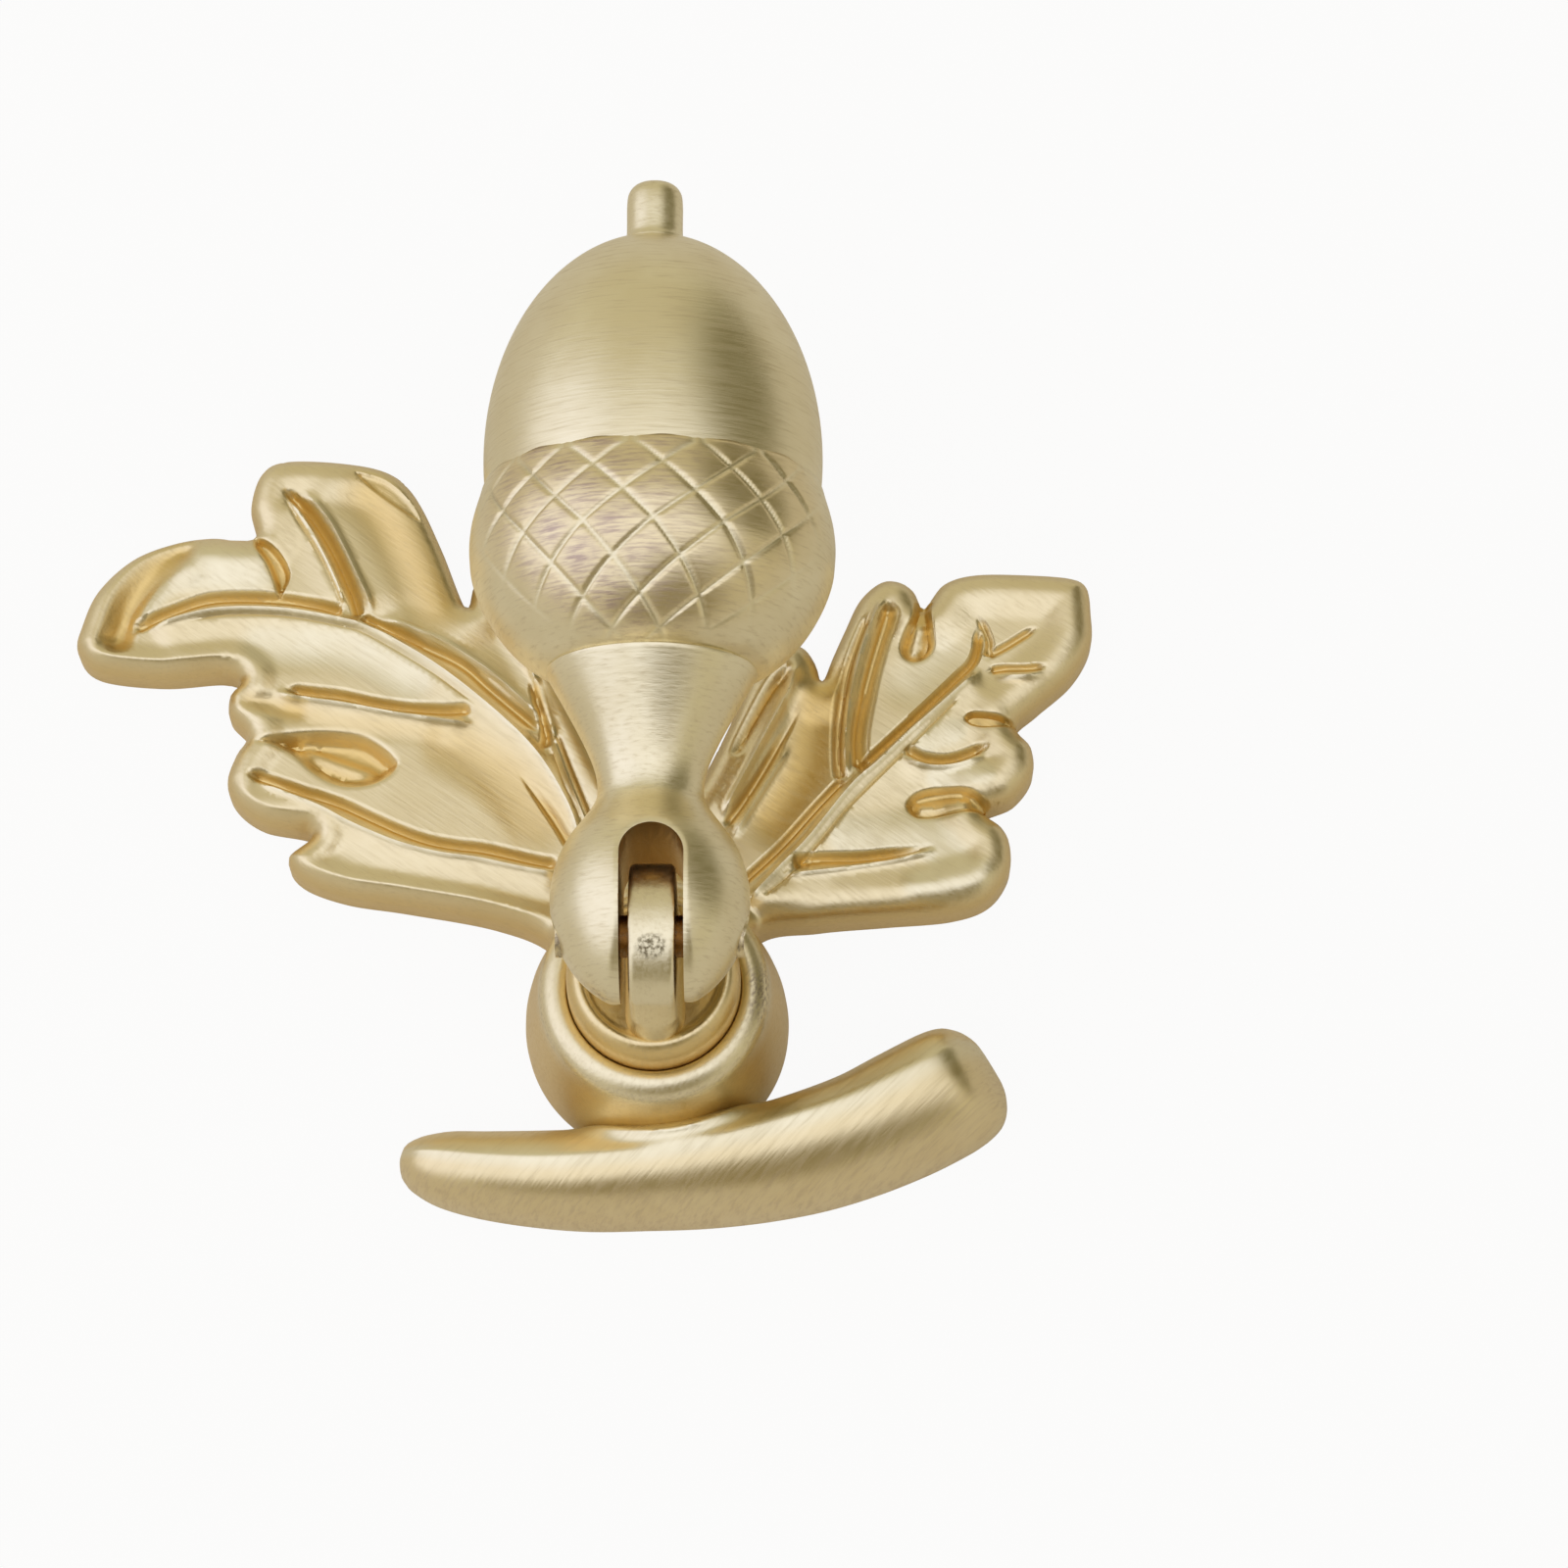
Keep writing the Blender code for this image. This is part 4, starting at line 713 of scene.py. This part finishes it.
post_gold = satin_gold("brushed_post_gold", (0.8, 0.8, 0.25), wear_and_shade_tint=(0.12, 0.09, 0.04, 1.0), hair=0.25)


def post_dark_oval(v):
    """A dark oval on the tongue's crown."""
    off = math.hypot((v.x - TONGUE_ASIDE) / 0.00085, (v.y + 0.0014) / 0.00062)
    return float(ease((1.0 - off) / 0.35)) * (v.z > 0.018)


def post_painted_shade(v):
    """Painted shade: deeper gold low down, round the collar's top and the tongue's foot."""
    return 0.9 * max(0.0, min(1.0, (0.0110 - v.z) / 0.0009))


for piece in (tongue, collar):
    paint_points(piece, "painted_shade", [post_painted_shade(v.co) for v in piece.data.vertices])
    paint_points(piece, "wear_and_shade", [post_dark_oval(v.co) for v in piece.data.vertices])
    piece.data.materials.append(post_gold)
    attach(piece, "plate")
    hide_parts("hinge_post")

# Cross pin. A plain rod pressed through the acorn's two ears and filed flush, its ends left rough.
PIN_LENGTH = 0.0088
PIN_DARK_HALF = 0.002

pin = rod("cross_pin", PIN_RADIUS, PIN_LENGTH, PIVOT, (-PIN_DARK_HALF, PIN_DARK_HALF))
in_ears = [abs(face.center.x) > PIN_DARK_HALF for face in pin.data.polygons]
# Painted shade: the pin's middle, inside the slot between the ears, is painted brown; its ends are a little
# deeper gold.
pin_painted_shade = pin.data.attributes.new("painted_shade", "FLOAT", "FACE")
pin_painted_shade.data.foreach_set("value", [0.3 if held else 1.9 for held in in_ears])
pin_wear = pin.data.attributes.new("wear_and_shade", "FLOAT", "FACE")
pin_wear.data.foreach_set("value", [float(held) for held in in_ears])
pin_look = satin_gold("filed_pin", (0.6, 0.6, 0.12), roughness=0.42, wear_and_shade_tint=(0.30, 0.24, 0.16, 1.0))
pin.data.materials.append(pin_look)
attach(pin, "acorn")
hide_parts("hinge_pin")

# Acorn. One turned brass piece that hangs on the pin: a ball with a round-ended slot for the tongue, a
# flared neck, a cup with a lattice cut into it, and a smooth nut with a stub at its tip. Brushed round its
# own axis. Side lines are a radius and a place along that axis from the pin, in millimetres.
REST_TILT = math.radians(2.5)
ALONG = Vector((0.0, math.cos(REST_TILT), math.sin(REST_TILT)))
UP = Vector((0.0, -math.sin(REST_TILT), math.cos(REST_TILT)))
SLOT_HALF = 0.0015
SLOT_ROOT = 0.0045
SLOT_REACH = 0.008
ACORN_STEPS = 288
NECK_SIDE = [
    (2.75, 6.2), (2.51, 7.0), (2.67, 8.1), (3.25, 9.5), (4.03, 11.0), (4.7, 12.2), (4.93, 12.62),
]
NECK_LIP = [(5.01, 12.74), (5.02, 12.84), (4.95, 12.93), (4.7, 12.96), (4.0, 13.6), (0.0, 13.6)]
STUB_SIDE = [
    (1.5, 34.78), (1.38, 35.05), (1.36, 35.6), (1.36, 36.7), (1.27, 37.3), (0.95, 37.67), (0.45, 37.775),
]


def acorn_frame(v):
    """A point's place across, along and above the acorn's axis."""
    d = v - PIVOT
    return d.x, d.dot(ALONG), d.dot(UP)


def oval(radius, middle, long_half, angles):
    """Part of an oval side line, between two angles from its widest place."""
    turns = [math.radians(a) for a in angles]
    return [(radius * math.cos(a), middle + long_half * math.sin(a)) for a in turns]


ball = oval(4.7, 1.65, 5.25, np.linspace(-90, 38, 65))
ball[0] = (0.0, ball[0][1])
neck_line = smooth_line([ball[-2], ball[-1], *NECK_SIDE], 0.12)[1:]
neck = [*ball[:-1], *[tuple(p) for p in neck_line], *NECK_LIP]
shank = turn("acorn_ball_and_neck", in_metres(neck), ACORN_STEPS, ALONG, PIVOT, UP)
for v in shank.data.vertices:
    x, y, z = acorn_frame(v.co)
    from_slot = math.hypot(x - TONGUE_ASIDE, max(0.0, y - SLOT_ROOT + SLOT_HALF)) - SLOT_HALF
    at_front = max(0.0, min(1.0, (0.0005 - y) / 0.0038))
    widen = 0.00022 + 0.00042 * at_front * (z > -0.003)
    near = max(0.0, 1.0 - max(0.0, from_slot) / widen)
    sink = 0.00010 * near**2 + 0.00016 * near**1.5 * at_front
    if y < 0.0062:
        v.co -= (v.co - (PIVOT + ALONG * 0.0017)).normalized() * sink
slot_bm = bmesh.new()
outline = [(SLOT_HALF, -0.012)]
for k in range(33):
    a = math.pi * k / 32
    outline.append((SLOT_HALF * math.cos(a), SLOT_ROOT - SLOT_HALF + SLOT_HALF * math.sin(a)))
outline.append((-SLOT_HALF, -0.012))
corners = [PIVOT + Vector((x + TONGUE_ASIDE, 0, 0)) + ALONG * y - UP * SLOT_REACH for x, y in outline]
corners = [slot_bm.verts.new(corner) for corner in corners]
pulled = bmesh.ops.extrude_face_region(slot_bm, geom=[slot_bm.faces.new(corners)])["geom"]
top = [g for g in pulled if isinstance(g, bmesh.types.BMVert)]
bmesh.ops.translate(slot_bm, verts=top, vec=UP * 2 * SLOT_REACH)
cut_away(shank, finish_mesh("slot", slot_bm))
cut_away(shank, rod("ear_hole", PIN_RADIUS + 0.00003, 0.014, PIVOT))
shank.data.set_sharp_from_angle(angle=math.radians(38))

# The lattice: two sets of grooves cut round the cup, sixteen each way, which cross in rows. Each row's
# place is given along the cup's side from its rim, and the rows drift to the left as they near the neck.
CUP_SIDE = [
    (4.75, 12.84), (5.6, 13.22), (6.35, 13.75), (6.95, 14.35), (7.5, 15.05), (7.98, 15.85),
    (8.35, 16.65), (8.62, 17.5), (8.72, 18.35), (8.745, 19.1), (8.67, 19.9), (8.52, 20.6), (8.32, 21.3),
    (8.2, 21.75),
]
CUP_RIM = [(8.12, 21.96), (8.02, 22.02), (7.9, 21.95), (7.6, 21.6), (6.2, 15.6), (4.2, 13.4)]
ROW_PLACES = [
    (-0.85, 0.0), (0.0, 1.2), (1.0, 2.6), (2.0, 4.0), (3.0, 5.7), (4.0, 7.55), (5.0, 9.4), (6.0, 11.2),
]
CELL_TURN = 11.25
GROOVE_HALF = 0.15
GROOVE_DEPTH = 0.12
CELL_CROWN = 0.08
CELL_SINK = 0.07
WORN_AT = -21.0
WORN_WIDTH = 38.0

cup_line = smooth_line(CUP_SIDE, 0.09)
cup = turn("acorn_cup", in_metres([*[tuple(p) for p in cup_line], *CUP_RIM]), 400, ALONG, PIVOT, UP)
down_side = np.concatenate([[0.0], np.cumsum(np.hypot(*np.diff(cup_line[::-1], axis=0).T))])
cup_marks = []
for v in cup.data.vertices:
    x, y, z = acorn_frame(v.co)
    radius = math.hypot(x, z) * 1000.0
    y *= 1000.0
    shell = float(np.interp(y, cup_line[:, 1], cup_line[:, 0]))
    if radius < shell - 0.15 or y < 12.9:
        cup_marks.append((0.0, 0.0))
        continue
    turn_by = math.degrees(math.atan2(x, z))
    place = float(np.interp(-y, -cup_line[::-1, 1], down_side))
    row = float(np.interp(place, [p for _, p in ROW_PLACES], [r for r, _ in ROW_PLACES]))
    step = (turn_by - 4.5 + 0.9 * row + 0.25 * row * row) / CELL_TURN
    a, b = (step + row) / 2, (step - row) / 2
    near_a, near_b = abs(a - round(a)), abs(b - round(b))
    spacing = 2.26 * radius / 8.7
    folded = min(abs(turn_by), 180.0 - abs(turn_by))
    depth = float(ease((1.16 - math.hypot(folded / 64.0, max(0.0, row - 0.5) / 4.7)) / 0.36))
    groove = max(0.0, 1.0 - (min(near_a, near_b) * spacing / GROOVE_HALF) ** 2)
    cushion = math.sqrt(math.sin(math.pi * near_a) * math.sin(math.pi * near_b))
    lift = depth * (CELL_CROWN * cushion - CELL_SINK - GROOVE_DEPTH * groove**1.3)
    out = (v.co - PIVOT - ALONG * (y * 0.001)).normalized()
    rim_part = max(0.0, 1.0 - place / 0.9)
    v.co += out * (lift * 0.001 * (1.0 - 0.75 * rim_part))
    v.co += ALONG * (0.00007 * rim_part * math.cos(math.pi * step) * depth)
    handled = math.exp(-(((turn_by - WORN_AT) / WORN_WIDTH) ** 2)) * (abs(turn_by) < 90)
    wear_and_shade = 1.5 * depth * max(0.0, cushion - 0.15) * handled
    # Painted highlight: the cells are painted deeper gold and the lattice lines left pale.
    cup_marks.append((0.30 * depth * (1.0 - groove), wear_and_shade))
paint_points(cup, "painted_shade", [m[0] for m in cup_marks])
paint_points(cup, "wear_and_shade", [m[1] for m in cup_marks])
nut_ball = oval(8.14, 23.55, 11.3, np.linspace(-15, 79.5, 90))
stub = [tuple(p) for p in smooth_line(STUB_SIDE, 0.12)]
nut_side = [(0.0, 20.4), (7.5, 20.4), *nut_ball, *stub, (0.0, 37.785)]
nut = turn("acorn_nut", in_metres(nut_side), ACORN_STEPS, ALONG, PIVOT, UP)
ear_spots = (PIVOT + Vector((-0.0021, -0.0026, 0.0002)), PIVOT + Vector((0.0019, -0.0026, 0.0)))
from_spots = [min((v.co - spot).length for spot in ear_spots) for v in shank.data.vertices]
paint_points(shank, "wear_and_shade", [math.exp(-((off / 0.0006) ** 2)) for off in from_spots])
paint_points(nut, "wear_and_shade", [0.0] * len(nut.data.vertices))
paint_points(nut, "painted_shade", [0.0] * len(nut.data.vertices))
# Painted shade: the slot's walls and root are painted brown.
slot_painted_shade = []
for face in shank.data.polygons:
    corners = [acorn_frame(shank.data.vertices[i].co) for i in face.vertices]
    off = max(math.hypot(x - TONGUE_ASIDE, max(0.0, y - SLOT_ROOT + SLOT_HALF)) for x, y, _ in corners)
    slot_painted_shade.append(1.6 * (off < SLOT_HALF + 2e-5))
slot_shade_attribute = shank.data.attributes.new("painted_shade", "FLOAT", "FACE")
slot_shade_attribute.data.foreach_set("value", slot_painted_shade)
acorn_turn = (tuple(PIVOT), (REST_TILT, 0.0, 0.0), 0.008)
for piece, look in (
    (shank, satin_gold("brushed_neck_gold", (0.10, 1.0, 1.0), acorn_turn, 0.34, (0.36, 0.29, 0.24, 1.0))),
    (cup, satin_gold("worn_cup_gold", (0.12, 1.0, 1.0), acorn_turn, 0.36)),
    (nut, satin_gold("brushed_nut_gold", (0.06, 1.0, 1.0), acorn_turn)),
):
    piece.data.materials.append(look)
    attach(piece, "acorn")
    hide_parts("acorn_pendant")

# Stand: a pale table top, which reads as white to the camera and keeps a faint shadow of the pull.
TABLE_SIZE = 3.0

table_bm = bmesh.new()
bmesh.ops.create_grid(table_bm, x_segments=1, y_segments=1, size=TABLE_SIZE)
bmesh.ops.translate(table_bm, verts=table_bm.verts, vec=(0.0, 0.0, -0.00002))
table = finish_mesh("table_top", table_bm)
paper = bpy.data.materials.new("white_table")
paper.use_nodes = True
nodes, links = paper.node_tree.nodes, paper.node_tree.links
nodes["Principled BSDF"].inputs["Base Color"].default_value = (0.72, 0.67, 0.54, 1.0)
nodes["Principled BSDF"].inputs["Roughness"].default_value = 0.9
glow = nodes.new("ShaderNodeEmission")
glow.inputs["Strength"].default_value = 1.0
ray = nodes.new("ShaderNodeLightPath")
seen = nodes.new("ShaderNodeMath")
seen.operation = "MAXIMUM"
links.new(ray.outputs["Is Transmission Ray"], seen.inputs[1])
dimmed = nodes.new("ShaderNodeMath")
dimmed.operation = "MULTIPLY_ADD"
dimmed.inputs[1].default_value = 0.06
links.new(ray.outputs["Is Glossy Ray"], dimmed.inputs[0])
camera_part = nodes.new("ShaderNodeMath")
camera_part.operation = "MULTIPLY"
camera_part.inputs[1].default_value = 0.93
links.new(ray.outputs["Is Camera Ray"], camera_part.inputs[0])
links.new(camera_part.outputs["Value"], dimmed.inputs[2])
links.new(dimmed.outputs["Value"], seen.inputs[0])
blend = nodes.new("ShaderNodeMixShader")
links.new(seen.outputs["Value"], blend.inputs["Fac"])
links.new(nodes["Principled BSDF"].outputs["BSDF"], blend.inputs[1])
links.new(glow.outputs["Emission"], blend.inputs[2])
links.new(blend.outputs["Shader"], nodes["Material Output"].inputs["Surface"])
table.data.materials.append(paper)

# Studio: soft light from all round, brighter over the front and from the left, with dark felt behind on
# the right and low at the front. Each part of the room has a direction, the cosines it fades in between,
# and its light.
ROOM_LIGHT = (0.62, 0.578, 0.44)
ROOM_PARTS = [
    ((0.0, -0.45, 0.90), 0.45, 0.99, (1.12, 1.14, 1.30)),
    ((-0.87, -0.10, 0.45), 0.60, 0.99, (1.12, 1.14, 1.36)),
    ((0.84, 0.45, 0.28), 0.70, 0.95, (0.19, 0.168, 0.09)),
    ((0.30, -0.85, 0.43), 0.85, 0.975, (0.22, 0.185, 0.10)),
    ((0.0, -0.97, 0.24), 0.85, 0.97, (0.28, 0.238, 0.14)),
]

room = bpy.data.worlds.new("studio")
bpy.context.scene.world = room
room.use_nodes = True
nodes, links = room.node_tree.nodes, room.node_tree.links
backdrop = nodes["Background"]
ahead = nodes.new("ShaderNodeTexCoord").outputs["Generated"]
light = None
for towards, edge_from, edge_to, tone in ROOM_PARTS:
    along = nodes.new("ShaderNodeVectorMath")
    along.operation = "DOT_PRODUCT"
    along.inputs[1].default_value = Vector(towards).normalized()
    links.new(ahead, along.inputs[0])
    share = nodes.new("ShaderNodeMapRange")
    share.interpolation_type = "SMOOTHSTEP"
    share.inputs["From Min"].default_value = edge_from
    share.inputs["From Max"].default_value = edge_to
    links.new(along.outputs["Value"], share.inputs["Value"])
    mix = nodes.new("ShaderNodeMix")
    mix.data_type = "RGBA"
    links.new(share.outputs["Result"], mix.inputs["Factor"])
    if light is None:
        mix.inputs[6].default_value = (*ROOM_LIGHT, 1.0)
    else:
        links.new(light, mix.inputs[6])
    mix.inputs[7].default_value = (*tone, 1.0)
    light = mix.outputs[2]
room_ray = nodes.new("ShaderNodeLightPath")
whole = nodes.new("ShaderNodeMix")
whole.data_type = "RGBA"
links.new(room_ray.outputs["Is Camera Ray"], whole.inputs["Factor"])
links.new(light, whole.inputs[6])
whole.inputs[7].default_value = (1.0, 1.0, 1.0, 1.0)
links.new(whole.outputs[2], backdrop.inputs["Color"])

# Camera: looks steeply down from the twig's side, as in the photograph, through a long lens.
AIM = Vector((0.00628, 0.01292, 0.0))
LOOK_DOWN = math.radians(71.5)
CAMERA_AWAY = 0.260
LENS_MM = 118.125

camera = bpy.data.objects.new("camera", bpy.data.cameras.new("camera"))
bpy.context.scene.collection.objects.link(camera)
camera.data.lens = LENS_MM
camera.data.sensor_width = 36.0
camera.data.clip_start = 0.01
camera.location = AIM + CAMERA_AWAY * Vector((0.0, -math.cos(LOOK_DOWN), math.sin(LOOK_DOWN)))
camera.rotation_euler = (math.pi / 2 - LOOK_DOWN, 0.0, 0.0)
bpy.context.scene.camera = camera
bpy.context.scene.view_settings.view_transform = "Standard"
